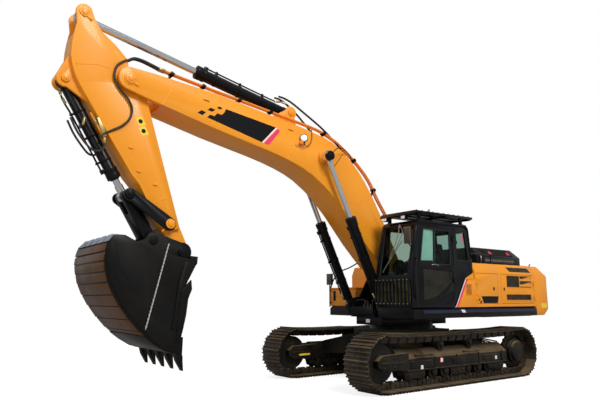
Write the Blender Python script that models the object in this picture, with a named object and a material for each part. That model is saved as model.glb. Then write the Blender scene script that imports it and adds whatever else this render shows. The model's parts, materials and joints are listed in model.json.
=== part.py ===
"""Crawler excavator of the 37 tonne class, one object for each sub-part.

Metres, +Z up, +X towards the bucket, +Y to the operator's left.  The tracks
stand on z = 0.  Lengths along the machine are written from the swing axis,
which the datum empty puts SWING_X from the origin.
"""

import math

import bmesh
import bpy
from mathutils import Matrix, Vector

# ---------------------------------------------------------------- dimensions
FIT = 0.0003                # gap between pieces that touch
RUNNING = 0.006             # side clearance of pieces that move past each other
SWING_X = -1.84             # swing axis, from the middle of the parked machine

# undercarriage
WHEELBASE = 4.02            # idler centre to sprocket centre
TRACK_RADIUS = 0.505        # grouser tips round the idler and the sprocket
GAUGE = 2.59                # centre of track to centre of track
SHOE_WIDTH = 0.60
SHOE_COUNT = 49
SHOE_THICKNESS = 0.060
GROUSER_NOTCH = 0.034
CHAIN_WIDTH = 0.23
CHAIN_DEPTH = 0.170         # shoe face to the chain's inner edge
CARRIER_X = (0.40, -0.46)
CARRIER_DROP = 0.022        # track's top run below the wheels, at the carriers
SPAN_SAG = 0.016
ROLLER_RADIUS = 0.105
ROLLER_COUNT = 9
ROLLER_PITCH = 0.335
CARRIER_RADIUS = 0.075
FRAME_INNER = 1.145         # track frame, from the machine's middle
FRAME_OUTER = 1.450
FRAME_BOTTOM = 0.330
FRAME_TOP = 0.700
CARBODY_TOP = 0.985
BEARING_BOTTOM = 1.08
BEARING_RADIUS = 0.68
BEARING_BORE = 0.50

# upper structure
DECK_BOTTOM = 1.240
DECK_TOP = 1.440
HOUSE_TOP = 2.330
HOUSE_HALF = 1.490
FOLD_HEIGHT = 2.140         # where the side panels lean in
FOLD_INSET = 0.100
WALL = 0.040
TAIL_RADIUS = 3.60
CW_FRONT = -2.790
MID_WALL_X = -1.450         # between the front and the rear compartment
CAB_REAR_X = -0.550
HOUSING_FRONT_X = -0.610
RIGHT_FRONT_X = 0.730
TOOLBOX_TOP = 1.850
TOOLBOX_REAR_X = 0.060
TANK_REAR_X = -0.620
TANK_INNER = -0.50
HOOD_FRONT_X = -1.250
HOOD_REAR_X = -2.900
HOOD_TOP = 2.720
HOOD_LEFT = 1.080
HOOD_HINGES_Y = (0.50, 0.90)
HOOD_RIGHT = -0.900
DOOR_GAP = 0.006
FRONT_DOOR_X = (MID_WALL_X + 0.050, HOUSING_FRONT_X - 0.045)
REAR_DOOR_X = (CW_FRONT + 0.070, MID_WALL_X - 0.050)
NOSE_X = 1.170
NOSE_PLATE_INNER = 0.342
NOSE_PLATE_OUTER = 0.370

# cab
CAB_INNER_Y = 0.580
CAB_OUTER_Y = 1.490
CAB_FLOOR = 1.4403
CAB_ROOF = 3.080
CAB_WALL = 0.055
DOOR_FRONT_X = 1.005
DOOR_REAR_X = 0.050
DOOR_THICKNESS = 0.045
CAB_HINGE_X = DOOR_REAR_X - DOOR_GAP / 2
CAB_HINGES_Z = (1.900, 2.720)
GLASS = 0.006
GUARD_PLATE_Z = (3.205, 3.255)
KNUCKLE_RADIUS = 0.013
KNUCKLE_OUT = 0.014         # hinge axis outside the panel's face
KNUCKLE_LENGTH = 0.060

# boom, arm and bucket
BOOM_LENGTH = 6.50
BOOM_ANGLE = math.radians(25.5)
BOOM_FOOT = (0.36, 2.20)
BOOM_HALF = 0.330
BOOM_PLATE = 0.030
ARM_LENGTH = 2.85
ARM_ANGLE = math.radians(-110.9)
ARM_HALF = 0.225
ARM_PLATE = 0.026
BUCKET_ANGLE = math.radians(-85.1)
BUCKET_HALF = 0.750
BUCKET_PLATE = 0.036
TOOTH_TIP = 1.780
TOOTH_COUNT = 5
PIN_RADIUS = 0.060
PIN_SIDES = 16

# cylinders: pins, barrel length to the gland, radii
BOOM_CYL_FOOT = (1.00, 1.47)
BOOM_CYL_EYE = (2.73, 1.03)
BOOM_CYL_Y = 0.470
BOOM_CYL_BARREL = 1.870
BOOM_CYL_RADIUS = 0.092
BOOM_CYL_ROD = 0.052
ARM_CYL_FOOT = (3.67, 1.51)
ARM_CYL_EYE = (-1.13, 0.35)
ARM_CYL_BARREL = 1.985
ARM_CYL_RADIUS = 0.105
ARM_CYL_ROD = 0.060
BUCKET_CYL_FOOT = (-0.18, 0.91)
ROCKER_PIVOT = (2.36, 0.08)
LINK_PIN = (1.74, 0.55)
BUCKET_EAR = (-0.12, 0.50)
BUCKET_CYL_BARREL = 1.640
BUCKET_CYL_RADIUS = 0.090
BUCKET_CYL_ROD = 0.052
EYE_HALF = 0.060
TUBE_SIDES = 16
ROCKER_INNER = 0.240
ROCKER_OUTER = 0.285
LINK_HALF = 0.160
EAR_INNER = 0.182
EAR_OUTER = 0.245

# ------------------------------------------------------------------ materials
# name: base colour, roughness, metallic
FINISHES = {
    "body_paint": ((0.95, 0.37, 0.03), 0.35, 0.0),
    "black_paint": ((0.012, 0.012, 0.014), 0.45, 0.0),
    "dusty_steel": ((0.20, 0.15, 0.11), 0.75, 0.6),
    "bright_rod": ((0.75, 0.76, 0.78), 0.12, 1.0),
    "window_glass": ((0.35, 0.42, 0.38), 0.05, 0.0),
    "seat_cloth": ((0.03, 0.03, 0.035), 0.90, 0.0),
    "trim_plastic": ((0.05, 0.05, 0.055), 0.60, 0.0),
}


def finish(name):
    """Return the named material, made once with a Principled BSDF."""
    material = bpy.data.materials.get(name)
    if material:
        return material
    colour, roughness, metallic = FINISHES[name]
    material = bpy.data.materials.new(name)
    material.use_nodes = True
    shader = material.node_tree.nodes["Principled BSDF"]
    shader.inputs["Base Color"].default_value = (*colour, 1.0)
    shader.inputs["Roughness"].default_value = roughness
    shader.inputs["Metallic"].default_value = metallic
    return material


# --------------------------------------------------------------- basic shapes
def shape(mesh_builder):
    """Turn a filled bmesh into a temporary object with its faces outward."""
    bmesh.ops.recalc_face_normals(mesh_builder, faces=mesh_builder.faces)
    mesh = bpy.data.meshes.new("shape")
    mesh_builder.to_mesh(mesh)
    mesh_builder.free()
    temporary = bpy.data.objects.new("shape", mesh)
    bpy.context.collection.objects.link(temporary)
    return temporary


def loft(*rings):
    """Join rings of 3-D points, one after the other, and close both ends."""
    builder = bmesh.new()
    loops = [[builder.verts.new(point) for point in ring] for ring in rings]
    count = len(loops[0])
    for first, second in zip(loops, loops[1:]):
        for index in range(count):
            following = (index + 1) % count
            builder.faces.new(
                (first[index], first[following], second[following], second[index])
            )
    builder.faces.new(loops[0])
    builder.faces.new(loops[-1])
    return shape(builder)


def plate(outline, low, high):
    """An outline of (x, z) points made thick from y = low to y = high."""
    return loft([(x, low, z) for x, z in outline], [(x, high, z) for x, z in outline])


def deck(outline, low, high):
    """An outline of (x, y) points made thick from z = low to z = high."""
    return loft([(x, y, low) for x, y in outline], [(x, y, high) for x, y in outline])


def beam(outline, low, high):
    """An outline of (y, z) points made thick from x = low to x = high."""
    return loft([(low, y, z) for y, z in outline], [(high, y, z) for y, z in outline])


def block(x0, x1, y0, y1, z0, z1):
    """A box between two corners."""
    return deck([(x0, y0), (x1, y0), (x1, y1), (x0, y1)], z0, z1)


def turned(start, end, *stations, sides=PIN_SIDES):
    """A round solid: stations are (distance from start, radius) pairs."""
    start, end = Vector(start), Vector(end)
    axis = (end - start).normalized()
    side = axis.orthogonal().normalized()
    other = axis.cross(side)
    rings = []
    for distance, radius in stations:
        centre = start + axis * distance
        turn = [2 * math.pi * step / sides for step in range(sides)]
        rings.append(
            [centre + side * (radius * math.cos(a)) + other * (radius * math.sin(a)) for a in turn]
        )
    return loft(*rings)


def bar(start, end, radius, sides=PIN_SIDES):
    """A round bar between two points."""
    length = (Vector(end) - Vector(start)).length
    return turned(start, end, (0.0, radius), (length, radius), sides=sides)


def pin(place, y0, y1, radius, sides=PIN_SIDES):
    """A round bar across the machine at an (x, z) place."""
    return bar((place[0], y0, place[1]), (place[0], y1, place[1]), radius, sides)


def bore(place, y0, y1, radius):
    """A cutter whose flats lie a fit outside a pin of the given radius."""
    return pin(place, y0, y1, (radius + FIT) / math.cos(math.pi / PIN_SIDES))


def arc(centre, radius, start, end, steps):
    """Points on an arc, angles in degrees."""
    turn = [math.radians(start + (end - start) * step / steps) for step in range(steps + 1)]
    return [(centre[0] + radius * math.cos(a), centre[1] + radius * math.sin(a)) for a in turn]


def flowing(points, steps=2):
    """Points on a smooth curve through the given points."""
    result = []
    last = len(points) - 1
    for index in range(last):
        before = Vector(points[max(index - 1, 0)])
        here, there = Vector(points[index]), Vector(points[index + 1])
        after = Vector(points[min(index + 2, last)])
        for step in range(steps):
            t = step / steps
            result.append(
                tuple(
                    0.5
                    * (
                        2 * here
                        + (there - before) * t
                        + (2 * before - 5 * here + 4 * there - after) * t * t
                        + (3 * here - before - 3 * there + after) * t**3
                    )
                )
            )
    result.append(tuple(points[last]))
    return result


# --------------------------------------------------------- joining and naming
def combine(base, tool, operation):
    """Apply one exact Boolean to base and drop the tool."""
    modifier = base.modifiers.new("combine", "BOOLEAN")
    modifier.operation = operation
    modifier.object = tool
    bpy.context.view_layer.update()
    evaluated = base.evaluated_get(bpy.context.evaluated_depsgraph_get())
    mesh = bpy.data.meshes.new_from_object(evaluated)
    base.modifiers.clear()
    base.data = mesh
    bpy.data.objects.remove(tool)


def clean(mesh):
    """Merge doubled points and dissolve the flat edges a Boolean leaves."""
    builder = bmesh.new()
    builder.from_mesh(mesh)
    bmesh.ops.remove_doubles(builder, verts=builder.verts, dist=0.00002)
    bmesh.ops.dissolve_limit(
        builder, angle_limit=math.radians(0.05), verts=builder.verts, edges=builder.edges
    )
    bmesh.ops.triangulate(builder, faces=[f for f in builder.faces if len(f.verts) > 4])
    builder.to_mesh(mesh)
    builder.free()


def solid(name, material, parent, shapes, cuts=(), pins=()):
    """Join shapes into one closed body, cut it, add its pins, name and place it."""
    base = shapes[0]
    for extra in shapes[1:]:
        combine(base, extra, "UNION")
    for tool in cuts:
        combine(base, tool, "DIFFERENCE")
    for added in pins:
        combine(base, added, "UNION")
    clean(base.data)
    base.name = name
    base.data.name = name
    base.data.materials.clear()
    base.data.materials.append(finish(material))
    base.data.shade_smooth()
    base.data.set_sharp_from_angle(angle=math.radians(30))
    base.parent = parent
    return base


def empty(name, parent, place, turn=0.0):
    """A joint's axis: an empty at (x, y, z), turned up by an angle about Y."""
    axis = bpy.data.objects.new(name, None)
    axis.empty_display_size = 0.2
    bpy.context.collection.objects.link(axis)
    axis.parent = parent
    axis.location = place
    axis.rotation_euler = (0.0, -turn, 0.0)
    return axis


def hang(piece, hinge):
    """Put a piece's origin on its hinge and leave its surface where it is."""
    piece.data.transform(Matrix.Translation(-Vector(hinge.location)))
    piece.parent = hinge
    return piece


# ------------------------------------------------------------------ placement
def turned_point(angle, point):
    """An (x, z) point turned up by an angle."""
    return (
        point[0] * math.cos(angle) - point[1] * math.sin(angle),
        point[0] * math.sin(angle) + point[1] * math.cos(angle),
    )


def offset(origin, angle, point):
    """An (x, z) point of a turned frame in the frame that holds its origin."""
    turned_xz = turned_point(angle, point)
    return (origin[0] + turned_xz[0], origin[1] + turned_xz[1])


def bearing_of(start, end):
    """Distance and angle from one (x, z) point to another."""
    dx, dz = end[0] - start[0], end[1] - start[1]
    return math.hypot(dx, dz), math.atan2(dz, dx)


# ---------------------------------------------------------------- undercarriage
def track_centre_line(depth):
    """The track's side outline, depth inside the grouser tips: (x, z) points."""
    radius = TRACK_RADIUS - depth
    half = WHEELBASE / 2
    top = TRACK_RADIUS + radius
    stops = [half, CARRIER_X[0], CARRIER_X[1], -half]
    heights = [top, top - CARRIER_DROP, top - CARRIER_DROP, top]
    run = []
    for x0, x1, z0, z1 in zip(stops, stops[1:], heights, heights[1:]):
        steps = 4
        for step in range(steps):
            t = step / steps
            sag = SPAN_SAG * 4 * t * (1 - t)
            run.append((x0 + (x1 - x0) * t, z0 + (z1 - z0) * t - sag))
    rear = arc((-half, TRACK_RADIUS), radius, 90, 270, 14)
    front = arc((half, TRACK_RADIUS), radius, -90, 90, 14)
    return run + rear + front[:-1]


def along(outline, distances):
    """Points and outward normals at distances round a closed outline."""
    points = [Vector(p) for p in outline]
    edges = [points[(i + 1) % len(points)] - points[i] for i in range(len(points))]
    total = sum(edge.length for edge in edges)
    result = []
    for wanted in distances:
        left = (wanted % 1.0) * total
        for start, edge in zip(points, edges):
            if left <= edge.length:
                direction = edge.normalized()
                result.append((start + direction * left, Vector((direction.y, -direction.x))))
                break
            left -= edge.length
    return result


def shoe_outline():
    """Outer outline with one raised step for each shoe."""
    stations = []
    for shoe in range(SHOE_COUNT):
        for share, drop in ((0.02, 1.0), (0.10, 0.0), (0.90, 0.0), (0.98, 1.0)):
            stations.append(((shoe + share) / SHOE_COUNT, drop))
    places = along(track_centre_line(0.0), [share for share, _ in stations])
    return [
        tuple(point - normal * (GROUSER_NOTCH * drop))
        for (point, normal), (_, drop) in zip(places, stations)
    ]


def make_track(side, name, datum):
    """One closed loop: shoes outside and the chain inside."""
    y = side * GAUGE / 2
    shoes = plate(shoe_outline(), y - SHOE_WIDTH / 2, y + SHOE_WIDTH / 2)
    inside = plate(track_centre_line(SHOE_THICKNESS), y - SHOE_WIDTH, y + SHOE_WIDTH)
    combine(shoes, inside, "DIFFERENCE")
    chain = plate(
        track_centre_line(SHOE_THICKNESS - 0.005), y - CHAIN_WIDTH / 2, y + CHAIN_WIDTH / 2
    )
    hollow = plate(track_centre_line(CHAIN_DEPTH), y - SHOE_WIDTH, y + SHOE_WIDTH)
    combine(chain, hollow, "DIFFERENCE")
    return solid(name, "dusty_steel", datum, [shoes, chain])


def make_track_frame(side, name, datum):
    """Side beam with its rollers, carrier posts, idler fork and motor plate."""
    half = WHEELBASE / 2
    y_in, y_out = FRAME_INNER, FRAME_OUTER
    section = [
        (side * y_in, FRAME_BOTTOM),
        (side * y_in, FRAME_TOP),
        (side * (y_in + 0.13), FRAME_TOP),
        (side * y_out, FRAME_TOP - 0.16),
        (side * y_out, FRAME_BOTTOM),
    ]
    middle = side * GAUGE / 2
    shapes = [beam(section, -half + 0.42, half - 0.44)]
    for sign in (-1, 1):
        y0 = middle + sign * 0.105
        y1 = middle + sign * 0.150
        shapes.append(block(half - 0.60, half + 0.10, min(y0, y1), max(y0, y1), 0.42, 0.59))
    motor_y = sorted((side * y_in, side * (y_in + 0.055)))
    shapes.append(block(-half, -half + 0.60, *motor_y, 0.36, 0.65))
    shapes.append(pin((-half, TRACK_RADIUS), *motor_y, 0.215))
    for index in range(ROLLER_COUNT):
        x = (index - (ROLLER_COUNT - 1) / 2) * ROLLER_PITCH
        z = CHAIN_DEPTH + FIT + ROLLER_RADIUS
        shapes.append(pin((x, z), middle - 0.11, middle + 0.11, ROLLER_RADIUS, 12))
    for x in CARRIER_X:
        z = 2 * TRACK_RADIUS - CHAIN_DEPTH - CARRIER_DROP - FIT - CARRIER_RADIUS
        shapes.append(pin((x, z), middle - 0.09, middle + 0.09, CARRIER_RADIUS, 12))
        post = sorted((side * (y_in + 0.01), side * (y_in + 0.07)))
        shapes.append(block(x - 0.06, x + 0.06, *post, FRAME_TOP - 0.05, z + 0.05))
    return solid(name, "dusty_steel", datum, shapes)


def make_idler(side, name, datum):
    """Front wheel that carries the chain, with its axle in the fork."""
    place = (WHEELBASE / 2, TRACK_RADIUS)
    middle = side * GAUGE / 2
    rim = (TRACK_RADIUS - CHAIN_DEPTH) * math.cos(math.pi / 28) - FIT
    wheel = pin(place, middle - 0.085, middle + 0.085, rim, 28)
    axle = pin(place, middle - 0.1045, middle + 0.1045, 0.10)
    return solid(name, "dusty_steel", datum, [wheel, axle])


def make_sprocket(side, name, datum):
    """Drive wheel on the travel motor's round housing."""
    place = (-WHEELBASE / 2, TRACK_RADIUS)
    middle = side * GAUGE / 2
    seat = side * (FRAME_INNER + 0.055 + FIT)
    rim = (TRACK_RADIUS - CHAIN_DEPTH) * math.cos(math.pi / 28) - FIT
    wheel = pin(place, middle - 0.045, middle + 0.045, rim, 28)
    drum = pin(place, *sorted((seat, side * 1.400)), 0.240, 20)
    cover = turned(
        (place[0], side * 1.39, place[1]),
        (place[0], side * 2, place[1]),
        (0.0, 0.225),
        (0.075, 0.215),
        (0.100, 0.150),
        sides=20,
    )
    return solid(name, "dusty_steel", datum, [wheel, drum, cover])


def make_carbody(datum):
    """X-shaped centre with a drum for the slewing ring."""
    shapes = [block(-0.72, 0.72, -0.70, 0.70, 0.50, CARBODY_TOP)]
    shapes.append(bar((0, 0, 0.90), (0, 0, BEARING_BOTTOM - FIT), BEARING_RADIUS - 0.02, 28))
    reach = FRAME_INNER - FIT
    for end in (-1, 1):
        for side in (-1, 1):
            inner = [
                (end * 0.20, side * 0.55, 0.50),
                (end * 0.68, side * 0.25, 0.50),
                (end * 0.68, side * 0.25, CARBODY_TOP - 0.02),
                (end * 0.20, side * 0.55, CARBODY_TOP - 0.02),
            ]
            outer = [
                (end * 0.62, side * reach, 0.44),
                (end * 1.22, side * reach, 0.44),
                (end * 1.22, side * reach, 0.72),
                (end * 0.62, side * reach, 0.72),
            ]
            shapes.append(loft(inner, outer))
    return solid("carbody", "dusty_steel", datum, shapes)


def make_bearing(datum):
    """Slewing ring between carbody and upper frame."""
    low, high = BEARING_BOTTOM, DECK_BOTTOM - FIT
    ring = turned(
        (0, 0, low), (0, 0, high), (0.0, BEARING_RADIUS), (high - low, BEARING_RADIUS), sides=28
    )
    hole = bar((0, 0, low - 0.1), (0, 0, high + 0.1), BEARING_BORE, 28)
    return solid("slewing_ring", "black_paint", datum, [ring], [hole])


# -------------------------------------------------------------- upper structure
def make_main_frame(upper):
    """Deck with skirts, boom ears, boom pin and the cylinder feet's pins."""
    half = HOUSE_HALF
    foot_clear = BOOM_CYL_FOOT[0] - 0.19
    outline = [
        (CW_FRONT + FIT, -half),
        (RIGHT_FRONT_X, -half),
        (RIGHT_FRONT_X, -NOSE_PLATE_INNER - 0.01),
        (NOSE_X - 0.06, -NOSE_PLATE_INNER - 0.01),
        (NOSE_X - 0.06, NOSE_PLATE_INNER + 0.01),
        (foot_clear, NOSE_PLATE_INNER + 0.01),
        (foot_clear, CAB_INNER_Y),
        (1.235, CAB_INNER_Y),
        (1.235, half),
        (CW_FRONT + FIT, half),
    ]
    inset = 0.075
    skirt = [(x, y - math.copysign(inset if abs(y) == half else 0, y)) for x, y in outline]
    shapes = [
        loft(
            [(x, y, DECK_BOTTOM) for x, y in outline],
            [(x, y, DECK_TOP - 0.05) for x, y in outline],
            [(x, y, DECK_TOP) for x, y in skirt],
        )
    ]
    ear = [
        (-1.30, DECK_TOP - 0.06),
        (NOSE_X, DECK_TOP - 0.14),
        (NOSE_X, 1.56),
        (1.06, 1.62),
        (0.86, 1.66),
        *arc(BOOM_FOOT, 0.21, -20, 130, 8),
        (-0.35, 1.98),
        (-1.30, 1.60),
    ]
    for side in (-1, 1):
        low, high = sorted((side * NOSE_PLATE_INNER, side * NOSE_PLATE_OUTER))
        shapes.append(plate(ear, low, high))
        foot = sorted((side * (NOSE_PLATE_OUTER - 0.02), side * (BOOM_CYL_Y + 0.075)))
        shapes.append(pin(BOOM_CYL_FOOT, *foot, PIN_RADIUS))
        boss_end = BOOM_CYL_Y - EYE_HALF - RUNNING
        boss = sorted((side * (NOSE_PLATE_OUTER - 0.02), side * boss_end))
        shapes.append(pin(BOOM_CYL_FOOT, *boss, 0.080))
    shapes.append(pin(BOOM_FOOT, -0.395, 0.395, PIN_RADIUS))
    shapes.append(block(-1.20, NOSE_X - 0.02, -0.36, 0.36, 1.30, DECK_TOP - 0.005))
    return solid("main_frame", "black_paint", upper, shapes)


def counterweight_ring(inset_rear, inset_side, z):
    """One level of the counterweight: straight front, round tail."""
    half = HOUSE_HALF - inset_side
    radius = TAIL_RADIUS - inset_rear
    turn = math.asin(half / radius)
    steps = 10
    tail = []
    for step in range(steps + 1):
        a = turn - 2 * turn * step / steps
        tail.append((-radius * math.cos(a), radius * math.sin(a), z))
    return [(CW_FRONT, -half, z), (CW_FRONT, half, z)] + tail


def make_counterweight(upper):
    """Cast tail weight, hollowed in front for the engine bay."""
    body = loft(
        counterweight_ring(0.13, 0.03, DECK_BOTTOM),
        counterweight_ring(0.0, 0.0, 1.38),
        counterweight_ring(0.0, 0.0, 2.11),
        counterweight_ring(0.25, FOLD_INSET, HOUSE_TOP),
    )
    pocket = block(CW_FRONT - 0.22, CW_FRONT + 0.2, -1.05, 1.05, 1.50, 2.20)
    return solid("counterweight", "body_paint", upper, [body], [pocket])


def make_rear_housing(upper):
    """Engine bay: two sides, roof and walls, open below and at the doors."""
    half = HOUSE_HALF
    x0, x1 = CW_FRONT + FIT, MID_WALL_X - FIT
    outer = [
        (-half, DECK_TOP + FIT),
        (half, DECK_TOP + FIT),
        (half, FOLD_HEIGHT),
        (half - FOLD_INSET, HOUSE_TOP),
        (-half + FOLD_INSET, HOUSE_TOP),
        (-half, FOLD_HEIGHT),
    ]
    inner = [
        (-half + WALL, DECK_TOP - 0.2),
        (half - WALL, DECK_TOP - 0.2),
        (half - WALL, FOLD_HEIGHT - 0.016),
        (half - FOLD_INSET - WALL * 0.6, HOUSE_TOP - WALL),
        (-half + FOLD_INSET + WALL * 0.6, HOUSE_TOP - WALL),
        (-half + WALL, FOLD_HEIGHT - 0.016),
    ]
    door_low, door_high = DECK_TOP + 0.06, FOLD_HEIGHT - 0.02
    cuts = [
        beam(inner, x0 + WALL, x1 - WALL),
        block(*REAR_DOOR_X, half - 0.3, half + 0.3, door_low, door_high),
        block(*REAR_DOOR_X, -half - 0.3, -half + 0.3, door_low, door_high),
        block(x0 + 0.10, x1 - 0.12, -0.78, 0.92, HOUSE_TOP - 0.3, HOUSE_TOP + 0.3),
        block(x0 - 0.3, x0 + 0.3, -1.0, 1.0, 1.55, 2.15),
    ]
    knuckles = side_door_hinges(*REAR_DOOR_X, 1, -1) + side_door_hinges(*REAR_DOOR_X, -1, -1)
    return solid("rear_housing", "body_paint", upper, [beam(outer, x0, x1)], cuts, knuckles)


def make_front_housing(upper):
    """Left compartment behind the cab, with the cheek that runs under it."""
    half = HOUSE_HALF
    inner_y = 0.44
    x0, x1 = MID_WALL_X, HOUSING_FRONT_X
    outer = [
        (inner_y, DECK_TOP + FIT),
        (half, DECK_TOP + FIT),
        (half, FOLD_HEIGHT),
        (half - FOLD_INSET, HOUSE_TOP),
        (inner_y, HOUSE_TOP),
    ]
    inner = [
        (inner_y + WALL, DECK_TOP - 0.2),
        (half - WALL, DECK_TOP - 0.2),
        (half - WALL, FOLD_HEIGHT - 0.016),
        (half - FOLD_INSET - WALL * 0.6, HOUSE_TOP - WALL),
        (inner_y + WALL, HOUSE_TOP - WALL),
    ]
    slant = cab_outline()[-2:]
    cheek = [
        (x1 - 0.02, DECK_TOP + FIT),
        (slant[1][0] - 2 * FIT, DECK_TOP + FIT),
        (slant[0][0] - 2 * FIT, slant[0][1] - 2 * FIT),
        (x1 - 0.02, slant[0][1] - 2 * FIT),
    ]
    cuts = [
        beam(inner, x0 + WALL, x1 - WALL),
        block(*FRONT_DOOR_X, half - 0.3, half + 0.3, DECK_TOP + 0.06, FOLD_HEIGHT - 0.02),
        block(x0 - 0.3, x0 + 0.3, 0.60, 1.30, 1.55, 2.15),
    ]
    knuckles = side_door_hinges(*FRONT_DOOR_X, 1, 1)
    knuckles += roof_knuckles(HOOD_FRONT_X, HOUSE_TOP + FIT, HOOD_HINGES_Y, 0.0, 0.03)
    solid("left_front_housing", "body_paint", upper, [beam(outer, x0, x1)], cuts, knuckles)
    behind = block(x0, x1 + FIT, 1.0, 1.6, 1.3, 2.2)
    solid("left_cheek_panel", "body_paint", upper, [plate(cheek, half - 0.03, half)], [behind])


def knuckle(start, way, offset_to_face, reach):
    """One hinge knuckle with the leaf that ties it to its panel.

    way is the axis as a unit vector, offset_to_face the step from the axis
    to just inside the panel and reach the step across the panel.
    """
    start, way = Vector(start), Vector(way)
    end = start + way * KNUCKLE_LENGTH
    barrel = bar(start, end, KNUCKLE_RADIUS, 8)
    inward, across = Vector(offset_to_face), Vector(reach)
    corners = [start, start + across, start + across + inward, start + inward]
    leaf = loft(corners, [point + way * KNUCKLE_LENGTH for point in corners])
    combine(barrel, leaf, "UNION")
    return barrel


def door_knuckles(x, side, levels, across):
    """Knuckles of an upright hinge: the door's when across points over it."""
    y = side * (HOUSE_HALF + KNUCKLE_OUT)
    inward = (0.0, -side * (KNUCKLE_OUT + 0.008), 0.0)
    return [knuckle((x, y, z), (0, 0, 1), inward, (across, 0.0, 0.0)) for z in levels]


def side_door_levels(fixed):
    """Heights of the fixed or the moving knuckles of a side door."""
    lowest = DECK_TOP + 0.14
    shift = 0.0 if fixed else KNUCKLE_LENGTH + FIT
    return [lowest + shift, FOLD_HEIGHT - 0.24 + shift]


def make_side_door(name, parent, x0, x1, side, hinge_end):
    """Flat side door in its opening; hinge_end is 1 for its front edge."""
    low, high = DECK_TOP + 0.06 + DOOR_GAP, FOLD_HEIGHT - 0.02 - DOOR_GAP
    y0, y1 = sorted((side * (HOUSE_HALF - WALL), side * HOUSE_HALF))
    panel = block(x0 + DOOR_GAP, x1 - DOOR_GAP, y0, y1, low, high)
    hinge_x = (x1 if hinge_end > 0 else x0) - hinge_end * DOOR_GAP / 2
    knuckles = door_knuckles(hinge_x, side, side_door_levels(False), -hinge_end * 0.035)
    hinge = empty(f"{name}_hinge", parent, (hinge_x, side * (HOUSE_HALF + KNUCKLE_OUT), low))
    return hang(solid(name, "body_paint", parent, [panel] + knuckles), hinge)


def side_door_hinges(x0, x1, side, hinge_end):
    """The housing's knuckles for one side door."""
    hinge_x = (x1 if hinge_end > 0 else x0) - hinge_end * DOOR_GAP / 2
    return door_knuckles(hinge_x, side, side_door_levels(True), hinge_end * 0.030)


def make_hood(parent):
    """Raised engine cover with leaning sides, hollow below."""
    low, high = HOUSE_TOP + FIT, HOOD_TOP
    x0, x1 = HOOD_REAR_X, HOOD_FRONT_X
    lean = 0.15

    def level(inset, z):
        return [
            (x0 + inset, HOOD_RIGHT + inset, z),
            (x1 - inset * 0.4, HOOD_RIGHT + inset, z),
            (x1 - inset * 0.4, HOOD_LEFT - inset, z),
            (x0 + inset, HOOD_LEFT - inset, z),
        ]

    body = loft(level(0.0, low), level(0.0, 2.53), level(lean, high))
    hollow = loft(
        level(WALL, low - 0.1), level(WALL, 2.53 - 0.01), level(lean + WALL, high - WALL)
    )
    knuckles = roof_knuckles(x1, low, HOOD_HINGES_Y, KNUCKLE_LENGTH + FIT, -0.05)
    hood = solid("engine_hood", "black_paint", parent, [body], [hollow], knuckles)
    place = (x1 + KNUCKLE_OUT, 0.0, low + KNUCKLE_OUT + 0.002)
    return hang(hood, empty("engine_hood_hinge", parent, place))


def roof_knuckles(x, z, places, shift, across):
    """Knuckles of a level hinge that lies in front of an edge at (x, z)."""
    axis = (x + KNUCKLE_OUT, z + KNUCKLE_OUT + 0.002)
    parts = []
    for y in places:
        start = (axis[0], y + shift, axis[1])
        if across < 0:
            parts.append(knuckle(start, (0, 1, 0), (0, 0, 0.03), (across, 0.0, 0.0)))
        else:
            parts.append(knuckle(start, (0, 1, 0), (0, 0, -KNUCKLE_OUT - 0.01), (across, 0, 0)))
    return parts


def make_right_tanks(upper):
    """Fuel tank and hydraulic tank on the right, with rounded top edges."""
    half = HOUSE_HALF
    section = [
        (TANK_INNER, DECK_TOP + FIT),
        (-half, DECK_TOP + FIT),
        (-half, FOLD_HEIGHT),
        (-half + FOLD_INSET, HOUSE_TOP),
        (TANK_INNER, HOUSE_TOP),
    ]
    solid("fuel_tank", "body_paint", upper, [beam(section, TANK_REAR_X + FIT, TOOLBOX_REAR_X)])
    solid("hydraulic_tank", "body_paint", upper, [beam(section, MID_WALL_X, TANK_REAR_X)])


def make_toolbox(upper):
    """Open-topped box at the right front corner."""
    half = HOUSE_HALF
    x0, x1 = TOOLBOX_REAR_X + FIT, RIGHT_FRONT_X
    y0, y1 = -half, -0.62
    box = block(x0, x1, y0, y1, DECK_TOP + FIT, TOOLBOX_TOP - 0.04)
    hollow = block(x0 + 0.03, x1 - 0.03, y0 + 0.03, y1 - 0.03, DECK_TOP + 0.04, TOOLBOX_TOP + 0.2)
    return solid("toolbox", "body_paint", upper, [box], [hollow])


def make_toolbox_lid(parent):
    """Lid that lies on the box, hinged along its rear top edge."""
    half = HOUSE_HALF
    x0, x1 = TOOLBOX_REAR_X + 0.006, RIGHT_FRONT_X
    lid = block(x0, x1, -half, -0.62, TOOLBOX_TOP - 0.04 + FIT, TOOLBOX_TOP)
    hinge = empty("toolbox_lid_hinge", parent, (x0, 0.0, TOOLBOX_TOP))
    return hang(solid("toolbox_lid", "body_paint", parent, [lid]), hinge)


# ------------------------------------------------------------------------- cab
def cab_outline(inset=0.0):
    """Side view of the cab: (x, z) points."""
    return [
        (1.250 - inset, CAB_FLOOR + inset),
        (1.280 - inset, 1.95),
        (1.215 - inset, 2.40),
        (1.060 - inset, CAB_ROOF - 0.06 - inset * 0.7),
        (1.000 - inset, CAB_ROOF - inset),
        (-0.400 + inset, CAB_ROOF - inset),
        (-0.470 + inset, CAB_ROOF - 0.07 - inset * 0.5),
        (CAB_REAR_X + inset, 2.30),
        (CAB_REAR_X + inset, 2.02 + inset),
        (-0.285 + inset * 0.4, 1.992 + inset),
        (0.055 + inset, CAB_FLOOR + inset),
    ]


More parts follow.
